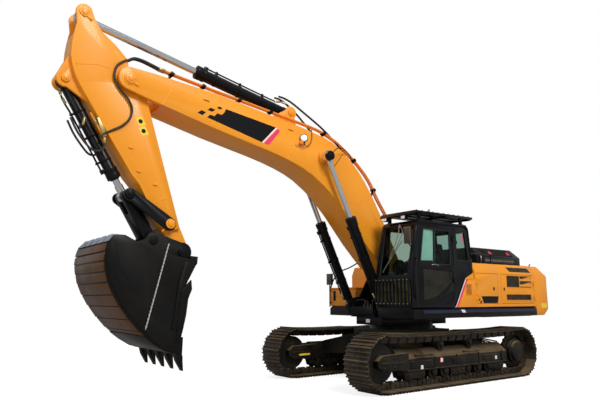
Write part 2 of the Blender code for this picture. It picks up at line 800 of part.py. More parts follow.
def door_outline(inset=0.0):
    """Door seen from the side: (x, z) points."""
    return [
        (DOOR_FRONT_X + 0.055 - inset, 1.500 + inset),
        (DOOR_FRONT_X + 0.085 - inset, 2.00),
        (DOOR_FRONT_X + 0.060 - inset, 2.40),
        (DOOR_FRONT_X - 0.050 - inset, 3.000 - inset),
        (DOOR_REAR_X + inset, 3.000 - inset),
        (DOOR_REAR_X + inset, 1.760 + inset),
        (DOOR_REAR_X + 0.30, 1.640 + inset),
        (DOOR_REAR_X + 0.60, 1.530 + inset),
        (DOOR_REAR_X + 0.72, 1.500 + inset),
    ]


def door_window(inset=0.0):
    """Door glass outline."""
    return [
        (1.010 - inset, 2.300 + inset),
        (0.900 - inset, 2.930 - inset),
        (0.120 + inset, 2.930 - inset),
        (0.120 + inset, 2.260 + inset),
        (0.560, 2.230 + inset),
        (0.700, 2.300 + inset),
    ]


def rear_side_window(inset=0.0):
    """Fixed pane behind the door."""
    return [
        (-0.060 - inset, 2.340 + inset),
        (-0.060 - inset, 2.930 - inset),
        (-0.350 + inset, 2.930 - inset),
        (-0.440 + inset, 2.340 + inset),
    ]


def windscreen_cut(inset=0.0):
    """Front opening seen from ahead: (y, z) points."""
    low, high = 2.020 + inset, 2.990 - inset
    y0, y1 = CAB_INNER_Y + 0.075 + inset, CAB_OUTER_Y - 0.075 - inset
    return [(y0, low), (y1, low), (y1, high), (y0, high)]


def make_cab_shell(upper):
    """Hollow operator's cab with window and door openings."""
    y0, y1 = CAB_INNER_Y, CAB_OUTER_Y
    body = plate(cab_outline(), y0, y1)
    cuts = [
        plate(cab_outline(CAB_WALL), y0 + CAB_WALL, y1 - CAB_WALL),
        plate(door_outline(-DOOR_GAP), y1 - 0.15, y1 + 0.15),
        plate(rear_side_window(), y1 - 0.15, y1 + 0.15),
        beam(windscreen_cut(), 0.95, 1.50),
        plate([(1.00, 1.90), (0.88, 2.93), (0.10, 2.93), (0.10, 1.90)], y0 - 0.15, y0 + 0.15),
        plate([(-0.02, 2.30), (-0.02, 2.93), (-0.35, 2.93), (-0.44, 2.30)], y0 - 0.15, y0 + 0.15),
        beam(
            [(y0 + 0.09, 2.36), (y1 - 0.09, 2.36), (y1 - 0.09, 2.93), (y0 + 0.09, 2.93)],
            CAB_REAR_X - 0.2,
            CAB_REAR_X + 0.3,
        ),
        block(0.15, 0.85, y0 + 0.12, y1 - 0.12, CAB_ROOF - 0.2, CAB_ROOF + 0.2),
    ]
    knuckles = door_knuckles(CAB_HINGE_X, 1, CAB_HINGES_Z, -0.030)
    return solid("cab_shell", "black_paint", upper, [body], cuts, knuckles)


def slanted_pane(name, outline, x_low, x_high, parent):
    """Front or rear glass: (y, z) outline leaning between two x values."""
    low = min(z for _, z in outline)
    high = max(z for _, z in outline)

    def ring(shift):
        return [
            (x_low + (x_high - x_low) * (z - low) / (high - low) + shift, y, z) for y, z in outline
        ]

    return solid(name, "window_glass", parent, [loft(ring(0.0), ring(GLASS))])


def make_cab_glass(upper):
    """Fixed panes, each a fit inside its opening."""
    y0, y1 = CAB_INNER_Y, CAB_OUTER_Y
    screen = windscreen_cut(FIT)
    slanted_pane("windscreen", screen, 1.225, 1.030, upper)
    pane = plate(rear_side_window(FIT), y1 - 0.030, y1 - 0.030 + GLASS)
    solid("left_rear_window", "window_glass", upper, [pane])
    right = [
        (1.00 - FIT, 1.90 + FIT),
        (0.88 - FIT, 2.93 - FIT),
        (0.10 + FIT, 2.93 - FIT),
        (0.10 + FIT, 1.90 + FIT),
    ]
    solid("right_window", "window_glass", upper, [plate(right, y0 + 0.02, y0 + 0.02 + GLASS)])
    right_rear = [
        (-0.02 - FIT, 2.30 + FIT),
        (-0.02 - FIT, 2.93 - FIT),
        (-0.35 + FIT, 2.93 - FIT),
        (-0.44 + FIT, 2.30 + FIT),
    ]
    pane = plate(right_rear, y0 + 0.02, y0 + 0.02 + GLASS)
    solid("right_rear_window", "window_glass", upper, [pane])
    back = [
        (y0 + 0.09 + FIT, 2.36 + FIT),
        (y1 - 0.09 - FIT, 2.36 + FIT),
        (y1 - 0.09 - FIT, 2.93 - FIT),
        (y0 + 0.09 + FIT, 2.93 - FIT),
    ]
    slanted_pane("rear_window", back, CAB_REAR_X + 0.022, CAB_REAR_X + 0.088, upper)
    hatch = block(
        0.15 + FIT, 0.85 - FIT, y0 + 0.12 + FIT, y1 - 0.12 - FIT, CAB_ROOF - 0.05, CAB_ROOF + 0.012
    )
    solid("roof_hatch", "black_paint", upper, [hatch])


def make_cab_door(parent):
    """Door frame with its window opening, and the pane in it."""
    y1 = CAB_OUTER_Y
    y0 = y1 - DOOR_THICKNESS
    frame = plate(door_outline(), y0, y1)
    window = plate(door_window(), y0 - 0.1, y1 + 0.1)
    levels = [z + KNUCKLE_LENGTH + FIT for z in CAB_HINGES_Z]
    knuckles = door_knuckles(CAB_HINGE_X, 1, levels, 0.030)
    hinge = empty("cab_door_hinge", parent, (CAB_HINGE_X, y1 + KNUCKLE_OUT, CAB_FLOOR))
    hang(solid("cab_door", "black_paint", parent, [frame], [window], knuckles), hinge)
    pane = plate(door_window(FIT), y0 + 0.02, y0 + 0.02 + GLASS)
    hang(solid("door_window", "window_glass", parent, [pane]), hinge)


def make_seat(upper):
    """Seat on its base, and the control consoles beside it."""
    middle = (CAB_INNER_Y + CAB_OUTER_Y) / 2
    floor = CAB_FLOOR + CAB_WALL + FIT
    base = block(0.14, 0.50, middle - 0.20, middle + 0.20, floor, floor + 0.30)
    left = block(0.14, 0.62, middle + 0.245, middle + 0.33, floor, floor + 0.62)
    right = block(0.14, 0.62, middle - 0.33, middle - 0.245, floor, floor + 0.62)
    tie = block(0.15, 0.45, middle - 0.30, middle + 0.30, floor + 0.02, floor + 0.14)
    solid("control_console", "trim_plastic", upper, [base, tie, left, right])
    top = floor + 0.30 + FIT
    cushion = block(0.08, 0.60, middle - 0.235, middle + 0.235, top, top + 0.14)
    back = plate(
        [
            (0.20, top + 0.08),
            (0.04, top + 0.74),
            (-0.08, top + 0.71),
            (0.06, top + 0.04),
        ],
        middle - 0.225,
        middle + 0.225,
    )
    head = plate(
        [
            (0.055, top + 0.70),
            (0.02, top + 0.92),
            (-0.09, top + 0.90),
            (-0.075, top + 0.66),
        ],
        middle - 0.14,
        middle + 0.14,
    )
    solid("operator_seat", "seat_cloth", upper, [cushion, back, head])


def make_roof_guard(upper):
    """Falling-object guard on six short posts."""
    y0, y1 = CAB_INNER_Y + 0.01, CAB_OUTER_Y + 0.010
    low, high = GUARD_PLATE_Z
    top = block(-0.62, 1.090, y0, y1, low, high)
    shapes = [top]
    for x in (-0.32, 0.92):
        for y in (y0 + 0.06, y1 - 0.08):
            shapes.append(
                block(x - 0.04, x + 0.04, y - 0.02, y + 0.02, CAB_ROOF + FIT, low + 0.01)
            )
    return solid("roof_guard", "black_paint", upper, shapes)


def make_front_guard(upper):
    """Barred guard over the cab's lower front."""
    y0, y1 = CAB_INNER_Y + 0.02, CAB_OUTER_Y - 0.02
    x = 1.300
    low, high = CAB_FLOOR + 0.06, 1.960
    frame = block(x, x + 0.03, y0, y1, low, high)
    bars = 9
    pitch = (y1 - y0 - 0.03) / bars
    cuts = []
    for index in range(bars):
        left = y0 + 0.03 + index * pitch
        cuts.append(block(x - 0.1, x + 0.1, left, left + pitch - 0.03, low + 0.03, high - 0.03))
    shapes = [frame]
    for z in (low + 0.01, high - 0.03):
        for y in (y0 + 0.005, y1 - 0.025):
            foot = 1.2505 + (z + 0.02 - CAB_FLOOR) * 0.03 / (1.95 - CAB_FLOOR) + FIT
            shapes.append(block(foot, x + 0.01, y, y + 0.02, z, z + 0.02))
    for tool in cuts:
        combine(shapes[0], tool, "DIFFERENCE")
    return solid("front_guard", "black_paint", upper, shapes)


def make_mirrors(upper):
    """Mirrors on bent tubes: one on the cab, one on the toolbox corner."""
    arm = bar((1.12, CAB_OUTER_Y - 0.02, 2.46), (1.35, 1.52, 2.62), 0.012, 8)
    head = block(1.325, 1.375, 1.460, 1.620, 2.60, 2.86)
    cab = plate(cab_outline(-FIT), 0.5, CAB_OUTER_Y + FIT)
    solid("left_mirror", "black_paint", upper, [head, arm], [cab])
    x, y = RIGHT_FRONT_X + 0.038, -HOUSE_HALF + 0.04
    shapes = [block(x - 0.022, x + 0.022, y - 0.09, y + 0.09, 1.92, 2.17)]
    shapes.append(bar((x, y, DECK_TOP - 0.02), (x, y, 1.94), 0.014, 8))
    for z in (1.52, 1.78):
        shapes.append(bar((RIGHT_FRONT_X + FIT, y, z), (x, y, z), 0.012, 8))
    solid("right_mirror", "black_paint", upper, shapes)


def make_engine(upper):
    """The engine with its pump as one plain block."""
    body = block(-2.55, -1.65, -0.85, 0.75, DECK_TOP + FIT, 2.20)
    return solid("engine_block", "dusty_steel", upper, [body])


def make_centre_cover(upper):
    """Stepped cover over the swing motor and valves, behind the boom foot."""
    cover = plate(
        [
            (MID_WALL_X + FIT, 1.60),
            (-0.42, 1.99),
            (-0.42, 2.02),
            (-0.70, 2.20),
            (MID_WALL_X + FIT, 2.20),
        ],
        -NOSE_PLATE_INNER + FIT,
        NOSE_PLATE_INNER - FIT,
    )
    return solid("centre_cover", "black_paint", upper, [cover])


# ------------------------------------------------------------ boom, arm, bucket
def boom_outline():
    """Side view in the boom's own frame: foot pin at 0, tip pin on the x axis."""
    top = flowing(
        [(0.10, 0.20), (0.96, 0.81), (1.55, 1.17), (2.10, 1.385), (2.60, 1.45), (3.10, 1.385)]
    )
    crown = [(3.45, 1.27), (5.16, 0.73), (6.20, 0.33)]
    nose = arc((BOOM_LENGTH, 0.0), 0.185, 65, -95, 10)
    belly = flowing(
        [(6.05, -0.10), (4.88, 0.165), (3.90, 0.420), (3.30, 0.545), (2.80, 0.580), (2.30, 0.510)]
    )
    heel = flowing([(1.80, 0.345), (1.10, 0.05), (0.45, -0.17)])
    foot = arc((0.0, 0.0), 0.205, 255, 110, 8)
    return top[:-1] + crown + nose + belly + heel + foot


def inset_outline(outline, distance):
    """The same closed outline moved inwards by a plate thickness."""
    points = [Vector(p) for p in outline]
    count = len(points)
    area = sum(
        points[i].x * points[(i + 1) % count].y - points[(i + 1) % count].x * points[i].y
        for i in range(count)
    )
    way = math.copysign(1.0, area)
    moved = []
    for i in range(count):
        before, here, after = points[i - 1], points[i], points[(i + 1) % count]
        first = (here - before).normalized()
        second = (after - here).normalized()
        normal = Vector((-(first.y + second.y), first.x + second.x)) * way
        normal.normalize()
        moved.append(tuple(here + normal * distance))
    return moved


def make_boom(pivot):
    """Box-section boom: bosses, nose fork, cylinder bosses and ears."""
    half = BOOM_HALF
    outline = boom_outline()
    tip = (BOOM_LENGTH, 0.0)
    shapes = [plate(outline, -half, half)]
    for side in (-1, 1):
        face = sorted((side * (half - 0.02), side * (BOOM_CYL_Y - EYE_HALF - RUNNING)))
        shapes.append(pin(BOOM_CYL_EYE, *face, 0.13))
        ear = [
            (3.38, 1.24),
            *arc(ARM_CYL_FOOT, 0.125, 200, -10, 8),
            (4.10, 1.00),
        ]
        ear_low = ARM_CYL_RADIUS + RUNNING
        shapes.append(plate(ear, *sorted((side * ear_low, side * (ear_low + 0.045)))))
    hollow = [
        p for p in inset_outline(outline, BOOM_PLATE)
        if 0.45 < p[0] < BOOM_LENGTH - 0.72
    ]
    cuts = [
        plate(hollow, -half + BOOM_PLATE, half - BOOM_PLATE),
        bar((-0.40, 0.0, 0.16), (0.75, 0.0, 0.30), 0.09, 12),
        bore((0.0, 0.0), -half - 0.2, half + 0.2, PIN_RADIUS),
        plate(
            arc(tip, 0.64, 60, 300, 16), -ARM_HALF - RUNNING - 0.012, ARM_HALF + RUNNING + 0.012
        ),
        plate(
            [(tip[0] - 0.34, -0.9), (tip[0] + 0.4, -0.9), (tip[0] + 0.4, 0.9), (tip[0] - 0.34, 0.9)],
            -ARM_HALF - RUNNING - 0.012,
            ARM_HALF + RUNNING + 0.012,
        ),
    ]
    pins = [
        pin(tip, -half - 0.012, -ARM_HALF - FIT, 0.110),
        pin(tip, ARM_HALF + FIT, half + 0.012, 0.110),
        pin(tip, -half - 0.012, half + 0.012, PIN_RADIUS),
        pin(ARM_CYL_FOOT, -ARM_CYL_RADIUS - 0.06, ARM_CYL_RADIUS + 0.06, PIN_RADIUS * 0.9),
    ]
    return solid("boom", "body_paint", pivot, shapes, cuts, pins)


def arm_outline():
    """Side view of the arm's box: (x towards the bucket, z away from the boom)."""
    lobe = arc(ARM_CYL_EYE, 0.130, 250, 90, 8)
    front = [(-0.98, 0.515), (-0.80, 0.620), (-0.50, 0.755), (-0.20, 0.785), (0.05, 0.745)]
    taper = [(1.45, 0.415), (1.62, 0.345), (2.30, 0.235), (2.45, 0.145)]
    back = [(2.48, -0.085), (0.33, -0.205)]
    hub = arc((0.0, 0.0), 0.205, 285, 200, 5)
    top = [(-0.33, -0.090), (-0.56, 0.020), (-0.80, 0.175), (-0.98, 0.225)]
    return lobe + flowing(front, 2) + taper + back + hub + top


def make_arm(pivot):
    """Box-section arm with lobes for both cylinders and the bucket nose."""
    half = ARM_HALF
    outline = arm_outline()
    shapes = [plate(outline, -half, half)]
    nose = [
        (2.30, 0.20),
        (2.62, 0.150),
        *arc((ARM_LENGTH, 0.0), 0.145, 75, -95, 8),
        (2.60, -0.130),
        (2.30, -0.090),
    ]
    shapes.append(plate(nose, -0.168, 0.168))
    ear_low, ear_high = BUCKET_CYL_RADIUS + RUNNING, BUCKET_CYL_RADIUS + RUNNING + 0.05
    side_lobe = [(-0.62, 0.66), *arc(BUCKET_CYL_FOOT, 0.135, 150, 10, 7), (0.25, 0.69)]
    for side in (-1, 1):
        low, high = sorted((side * ear_low, side * ear_high))
        shapes.append(plate(side_lobe, low, high))
    inner = [
        (-0.78, 0.600),
        (-0.50, 0.725),
        (-0.20, 0.757),
        (0.05, 0.717),
        (1.43, 0.385),
        (1.60, 0.316),
        (2.20, 0.220),
        (2.20, -0.070),
        (0.33, -0.205 + ARM_PLATE),
        (0.31, 0.240),
        (-0.22, 0.240),
        (-0.40, 0.075),
        (-0.78, 0.250),
    ]
    slot = [(-1.50, -0.20), (-0.84, -0.20), (-0.84, 0.90), (-1.50, 0.90)]
    cuts = [
        plate(inner, -half + ARM_PLATE, half - ARM_PLATE),
        plate(slot, -half + 0.045, half - 0.045),
        bar((-1.2, 0.0, 0.34), (-0.6, 0.0, 0.40), 0.055, 12),
        bore((0.0, 0.0), -half - 0.2, half + 0.2, PIN_RADIUS),
        bore((ARM_LENGTH, 0.0), -half - 0.2, half + 0.2, PIN_RADIUS * 0.9),
        bore(ROCKER_PIVOT, -half - 0.2, half + 0.2, PIN_RADIUS * 0.8),
    ]
    foot_pin = pin(BUCKET_CYL_FOOT, -ear_high - 0.01, ear_high + 0.01, PIN_RADIUS * 0.8)
    return solid("arm", "body_paint", pivot, shapes, cuts, [foot_pin])


def bucket_outline():
    """Side view of the shell: hinge pin at 0, x towards the tooth tips."""
    front = [(0.20, -0.03), (0.52, 0.10), (1.00, 0.125), (1.40, 0.165), (1.52, 0.10)]
    heel = flowing(
        [(1.54, 0.20), (1.47, 0.40), (1.25, 0.73), (0.93, 1.06), (0.62, 1.27), (0.34, 1.36)]
    )
    roof = [(0.08, 1.35), (-0.05, 1.26), (-0.06, 1.12), (0.04, 0.85), (0.12, 0.45), (0.15, 0.10)]
    return front + heel + roof


def make_bucket(pivot):
    """Digging bucket: shell, hinge ears, side cutters, strips and teeth."""
    half = BUCKET_HALF
    outline = bucket_outline()
    inner = inset_outline(outline, BUCKET_PLATE)
    mouth = [(0.15, -0.60), (1.75, -0.60)]
    keep = [p for p in inner if not (p[1] < 0.17 and 0.15 < p[0] < 1.50)]
    hollow = mouth + [(1.47, 0.125)] + keep[1:] + [(0.205, 0.10)]
    shapes = [plate(outline, -half, half)]
    for side in (-1, 1):
        low, high = sorted((side * (half - 0.005), side * (half + 0.018)))
        wear = [(1.50, 0.14), (1.50, 0.34), (1.22, 0.70), (1.02, 0.62), (1.20, 0.36), (1.24, 0.15)]
        shapes.append(plate(wear, low, high))
    ear = [
        *arc((0.0, 0.0), 0.155, 300, 165, 6),
        *arc(BUCKET_EAR, 0.125, 200, 90, 5),
        (0.03, 0.95),
        (0.20, 0.60),
        (0.26, 0.0),
    ]
    for side in (-1, 1):
        low, high = sorted((side * EAR_INNER, side * EAR_OUTER))
        shapes.append(plate(ear, low, high))
    tooth = [
        (1.42, 0.085),
        (TOOTH_TIP, -0.010),
        (TOOTH_TIP, 0.006),
        (1.62, 0.115),
        (1.42, 0.165),
    ]
    for index in range(TOOTH_COUNT):
        y = (index / (TOOTH_COUNT - 1) - 0.5) * (2 * half - 0.14)
        shapes.append(plate(tooth, y - 0.048, y + 0.048))
    body = shapes[0]
    combine(body, plate(hollow, -half + BUCKET_PLATE, half - BUCKET_PLATE), "DIFFERENCE")
    hinge_pin = pin((0.0, 0.0), -EAR_OUTER - 0.015, EAR_OUTER + 0.015, PIN_RADIUS * 0.9)
    return solid("bucket", "black_paint", pivot, shapes, [], [hinge_pin])


# -------------------------------------------------------------------- cylinders
def make_barrel(name, pivot, y, length, radius, rod_radius, pin_radius, eye_half):
    """Cylinder tube with a foot eye; the pivot is the foot's pin."""
    eye = pin((0.0, 0.0), y - eye_half, y + eye_half, pin_radius + 0.048)
    tube = turned(
        (0.0, y, 0.0),
        (length, y, 0.0),
        (0.07, radius * 0.62),
        (0.13, radius),
        (length - 0.14, radius),
        (length - 0.14, radius * 1.09),
        (length - 0.02, radius * 1.09),
        (length, radius * 0.95),
        sides=TUBE_SIDES,
    )
    hole = rod_radius + FIT / math.cos(math.pi / TUBE_SIDES)
    gland = bar((length - 0.20, y, 0.0), (length + 0.1, y, 0.0), hole, TUBE_SIDES)
    inside = bar((0.20, y, 0.0), (length - 0.15, y, 0.0), radius - 0.020, TUBE_SIDES)
    cuts = [gland, inside, bore((0.0, 0.0), y - 0.3, y + 0.3, pin_radius)]
    return solid(name, "black_paint", pivot, [tube, eye], cuts)


def make_rod(name, pivot, y, length, start, rod_radius, eye_radius, eye_half=EYE_HALF):
    """Chrome rod from inside the tube to its eye, in the barrel's frame."""
    rod = turned(
        (start, y, 0.0),
        (length, y, 0.0),
        (0.0, rod_radius),
        (length - start, rod_radius),
        sides=TUBE_SIDES,
    )
    head = turned(
        (length - eye_radius - 0.10, y, 0.0),
        (length, y, 0.0),
        (0.0, rod_radius * 1.25),
        (eye_radius + 0.10, rod_radius * 1.25),
        sides=TUBE_SIDES,
    )
    eye = pin((length, 0.0), y - eye_half, y + eye_half, eye_radius)
    return solid(name, "bright_rod", pivot, [rod, head, eye])


def make_boom_cylinders(upper):
    """Both boom cylinders, from the frame's nose to the boom's sides."""
    eye = offset(BOOM_FOOT, BOOM_ANGLE, BOOM_CYL_EYE)
    length, angle = bearing_of(BOOM_CYL_FOOT, eye)
    for side, word in ((1, "left"), (-1, "right")):
        place = (BOOM_CYL_FOOT[0], 0.0, BOOM_CYL_FOOT[1])
        pivot = empty(f"boom_cylinder_foot_{word}", upper, place, angle)
        y = side * BOOM_CYL_Y
        make_barrel(
            f"boom_cylinder_barrel_{word}",
            pivot,
            y,
            BOOM_CYL_BARREL,
            BOOM_CYL_RADIUS,
            BOOM_CYL_ROD,
            PIN_RADIUS,
            EYE_HALF,
        )
        make_rod(
            f"boom_cylinder_rod_{word}", pivot, y, length, 1.35, BOOM_CYL_ROD, 0.110, EYE_HALF - 0.001
        )


def make_arm_cylinder(boom_pivot):
    """Arm cylinder on top of the boom."""
    arm_turn = ARM_ANGLE - BOOM_ANGLE
    eye = offset((BOOM_LENGTH, 0.0), arm_turn, ARM_CYL_EYE)
    length, angle = bearing_of(ARM_CYL_FOOT, eye)
    pivot = empty(
        "arm_cylinder_foot", boom_pivot, (ARM_CYL_FOOT[0], 0.0, ARM_CYL_FOOT[1]), angle
    )
    make_barrel(
        "arm_cylinder_barrel",
        pivot,
        0.0,
        ARM_CYL_BARREL,
        ARM_CYL_RADIUS,
        ARM_CYL_ROD,
        PIN_RADIUS * 0.9,
        ARM_CYL_RADIUS,
    )
    make_rod("arm_cylinder_rod", pivot, 0.0, length, 1.77, ARM_CYL_ROD, 0.105)


def make_bucket_linkage(arm_pivot):
    """Bucket cylinder, rocker plates and bucket link."""
    length, angle = bearing_of(BUCKET_CYL_FOOT, LINK_PIN)
    place = (BUCKET_CYL_FOOT[0], 0.0, BUCKET_CYL_FOOT[1])
    pivot = empty("bucket_cylinder_foot", arm_pivot, place, angle)
    make_barrel(
        "bucket_cylinder_barrel",
        pivot,
        0.0,
        BUCKET_CYL_BARREL,
        BUCKET_CYL_RADIUS,
        BUCKET_CYL_ROD,
        PIN_RADIUS * 0.8,
        BUCKET_CYL_RADIUS,
    )
    make_rod("bucket_cylinder_rod", pivot, 0.0, length, 0.30, BUCKET_CYL_ROD, 0.095)

    reach, angle = bearing_of(ROCKER_PIVOT, LINK_PIN)
    rocker_pivot = empty(
        "rocker_axis", arm_pivot, (ROCKER_PIVOT[0], 0.0, ROCKER_PIVOT[1]), angle
    )
    side_view = arc((0.0, 0.0), 0.105, 100, 260, 8) + arc((reach, 0.0), 0.095, -80, 80, 8)
    shapes = [pin((0.0, 0.0), -ROCKER_OUTER - 0.02, ROCKER_OUTER + 0.02, PIN_RADIUS * 0.8)]
    cuts = []
    for side in (-1, 1):
        low, high = sorted((side * ROCKER_INNER, side * ROCKER_OUTER))
        shapes.append(plate(side_view, low, high))
        cuts.append(bore((reach, 0.0), *sorted((side * 0.2, side * 0.35)), PIN_RADIUS * 0.8))
    solid("rocker_plates", "black_paint", rocker_pivot, shapes, cuts)

    ear = offset((ARM_LENGTH, 0.0), BUCKET_ANGLE - ARM_ANGLE, BUCKET_EAR)
    span, link_angle = bearing_of(LINK_PIN, ear)
    link_pivot = empty("link_axis", rocker_pivot, (reach, 0.0, 0.0), link_angle - angle)
    body = [
        *arc((0.0, 0.0), 0.088, 100, 260, 6),
        *arc((span, 0.0), 0.095, -80, 80, 6),
    ]
    shapes = [plate(body, -LINK_HALF, LINK_HALF)]
    fork = block(-0.30, 0.27, -EYE_HALF - RUNNING, EYE_HALF + RUNNING, -0.3, 0.3)
    stubs = []
    for side in (-1, 1):
        stub = sorted((side * (LINK_HALF - 0.03), side * (ROCKER_OUTER + 0.012)))
        stubs.append(pin((0.0, 0.0), *stub, PIN_RADIUS * 0.8))
    solid("bucket_link", "black_paint", link_pivot, shapes, [fork], stubs)


# ---------------------------------------------------------------------- assembly
def main():
    """Build the whole machine."""
    for old in list(bpy.data.objects):
        bpy.data.objects.remove(old)

    datum = empty("swing_axis", None, (SWING_X, 0.0, 0.0))
    make_carbody(datum)
    make_bearing(datum)
    for side, word in ((1, "left"), (-1, "right")):
        make_track_frame(side, f"track_frame_{word}", datum)
        make_track(side, f"track_{word}", datum)
        make_idler(side, f"idler_{word}", datum)
        make_sprocket(side, f"sprocket_{word}", datum)

    make_main_frame(datum)
    make_counterweight(datum)
    make_engine(datum)
    make_centre_cover(datum)
    make_rear_housing(datum)
    make_front_housing(datum)
    make_side_door("left_front_door", datum, *FRONT_DOOR_X, 1, 1)
    make_side_door("left_rear_door", datum, *REAR_DOOR_X, 1, -1)
    make_side_door("right_rear_door", datum, *REAR_DOOR_X, -1, -1)
    make_hood(datum)
    make_right_tanks(datum)
    make_toolbox(datum)
    make_toolbox_lid(datum)

    make_cab_shell(datum)
    make_cab_glass(datum)
    make_cab_door(datum)
    make_seat(datum)
    make_roof_guard(datum)
    make_front_guard(datum)
    make_mirrors(datum)

    boom_pivot = empty("boom_foot", datum, (BOOM_FOOT[0], 0.0, BOOM_FOOT[1]), BOOM_ANGLE)
    make_boom(boom_pivot)
    arm_pivot = empty("boom_tip", boom_pivot, (BOOM_LENGTH, 0.0, 0.0), ARM_ANGLE - BOOM_ANGLE)
    make_arm(arm_pivot)
    bucket_pivot = empty(
        "arm_tip", arm_pivot, (ARM_LENGTH, 0.0, 0.0), BUCKET_ANGLE - ARM_ANGLE
    )
    make_bucket(bucket_pivot)
    make_boom_cylinders(datum)
    make_arm_cylinder(boom_pivot)
    make_bucket_linkage(arm_pivot)
    bpy.context.view_layer.update()


main()
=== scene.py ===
"""Looks of the crawler excavator: finishes, tracks, cab, hoses and small fittings.

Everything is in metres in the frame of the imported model: +X towards the bucket,
+Y towards the cab side, +Z up, the tracks on z = 0.  Work on the boom, the arm
and the bucket is drawn in that piece's own side view and turned into place.
"""

import json
import math

import bmesh
import bpy
from mathutils import Matrix, Vector

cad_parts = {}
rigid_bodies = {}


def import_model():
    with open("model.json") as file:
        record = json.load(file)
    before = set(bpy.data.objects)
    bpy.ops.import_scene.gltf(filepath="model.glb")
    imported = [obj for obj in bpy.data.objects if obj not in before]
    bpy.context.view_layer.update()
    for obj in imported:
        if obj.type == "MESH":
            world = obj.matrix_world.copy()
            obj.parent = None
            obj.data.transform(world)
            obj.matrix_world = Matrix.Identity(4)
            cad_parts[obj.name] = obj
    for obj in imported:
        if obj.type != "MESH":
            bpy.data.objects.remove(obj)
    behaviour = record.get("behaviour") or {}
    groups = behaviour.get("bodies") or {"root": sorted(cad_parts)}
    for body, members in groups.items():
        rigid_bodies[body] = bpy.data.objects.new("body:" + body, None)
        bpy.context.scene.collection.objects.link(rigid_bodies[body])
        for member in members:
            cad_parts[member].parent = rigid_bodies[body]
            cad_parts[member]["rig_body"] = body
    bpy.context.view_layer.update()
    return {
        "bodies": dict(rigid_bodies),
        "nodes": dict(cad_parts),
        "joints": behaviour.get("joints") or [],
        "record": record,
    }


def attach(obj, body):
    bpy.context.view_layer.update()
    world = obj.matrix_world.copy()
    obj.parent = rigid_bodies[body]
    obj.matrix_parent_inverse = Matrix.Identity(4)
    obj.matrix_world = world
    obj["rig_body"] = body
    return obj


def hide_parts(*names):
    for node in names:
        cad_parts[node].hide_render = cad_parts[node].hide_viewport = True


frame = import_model()
NODES = frame["nodes"]
JOINTS = {joint["name"]: joint for joint in frame["joints"]}

# ----------------------------------------------------------------- main places
SKIN = 0.001                # a decal or seam stands this far off its panel
SWING_X = JOINTS["swing"]["pos_m"][0]
BOOM_FOOT = Vector(JOINTS["boom"]["pos_m"])
BOOM_TIP = Vector(JOINTS["arm"]["pos_m"])
ARM_TIP = Vector(JOINTS["bucket"]["pos_m"])
BUCKET_TURN = math.radians(-85.1)
MIX_FACTOR, MIX_FIRST, MIX_SECOND, MIX_RESULT = 0, 6, 7, 2   # a colour mix's sockets
SIDES = (("left", 1), ("right", -1))


def side_view(origin, turn):
    """Matrix of a frame whose x axis is turned up from +X by an angle."""
    return Matrix.Translation(origin) @ Matrix.Rotation(-turn, 4, "Y")


def slope(start, end):
    """Angle of the line from start to end, seen from the side."""
    return math.atan2(end[2] - start[2], end[0] - start[0])


def joint_view(name, slide=None):
    """Frame on a joint, along +X or along the axis of a slide joint."""
    axis = JOINTS[slide]["axis"] if slide else (1.0, 0.0, 0.0)
    return side_view(Vector(JOINTS[name]["pos_m"]), math.atan2(axis[2], axis[0]))


MACHINE = side_view(Vector((SWING_X, 0.0, 0.0)), 0.0)
BOOM = side_view(BOOM_FOOT, slope(BOOM_FOOT, BOOM_TIP))
ARM = side_view(BOOM_TIP, slope(BOOM_TIP, ARM_TIP))
BUCKET = side_view(ARM_TIP, BUCKET_TURN)
ARM_CYLINDER = joint_view("arm_cylinder_pivot", "arm_cylinder_stroke")
BUCKET_CYLINDER = joint_view("bucket_cylinder_pivot", "bucket_cylinder_stroke")


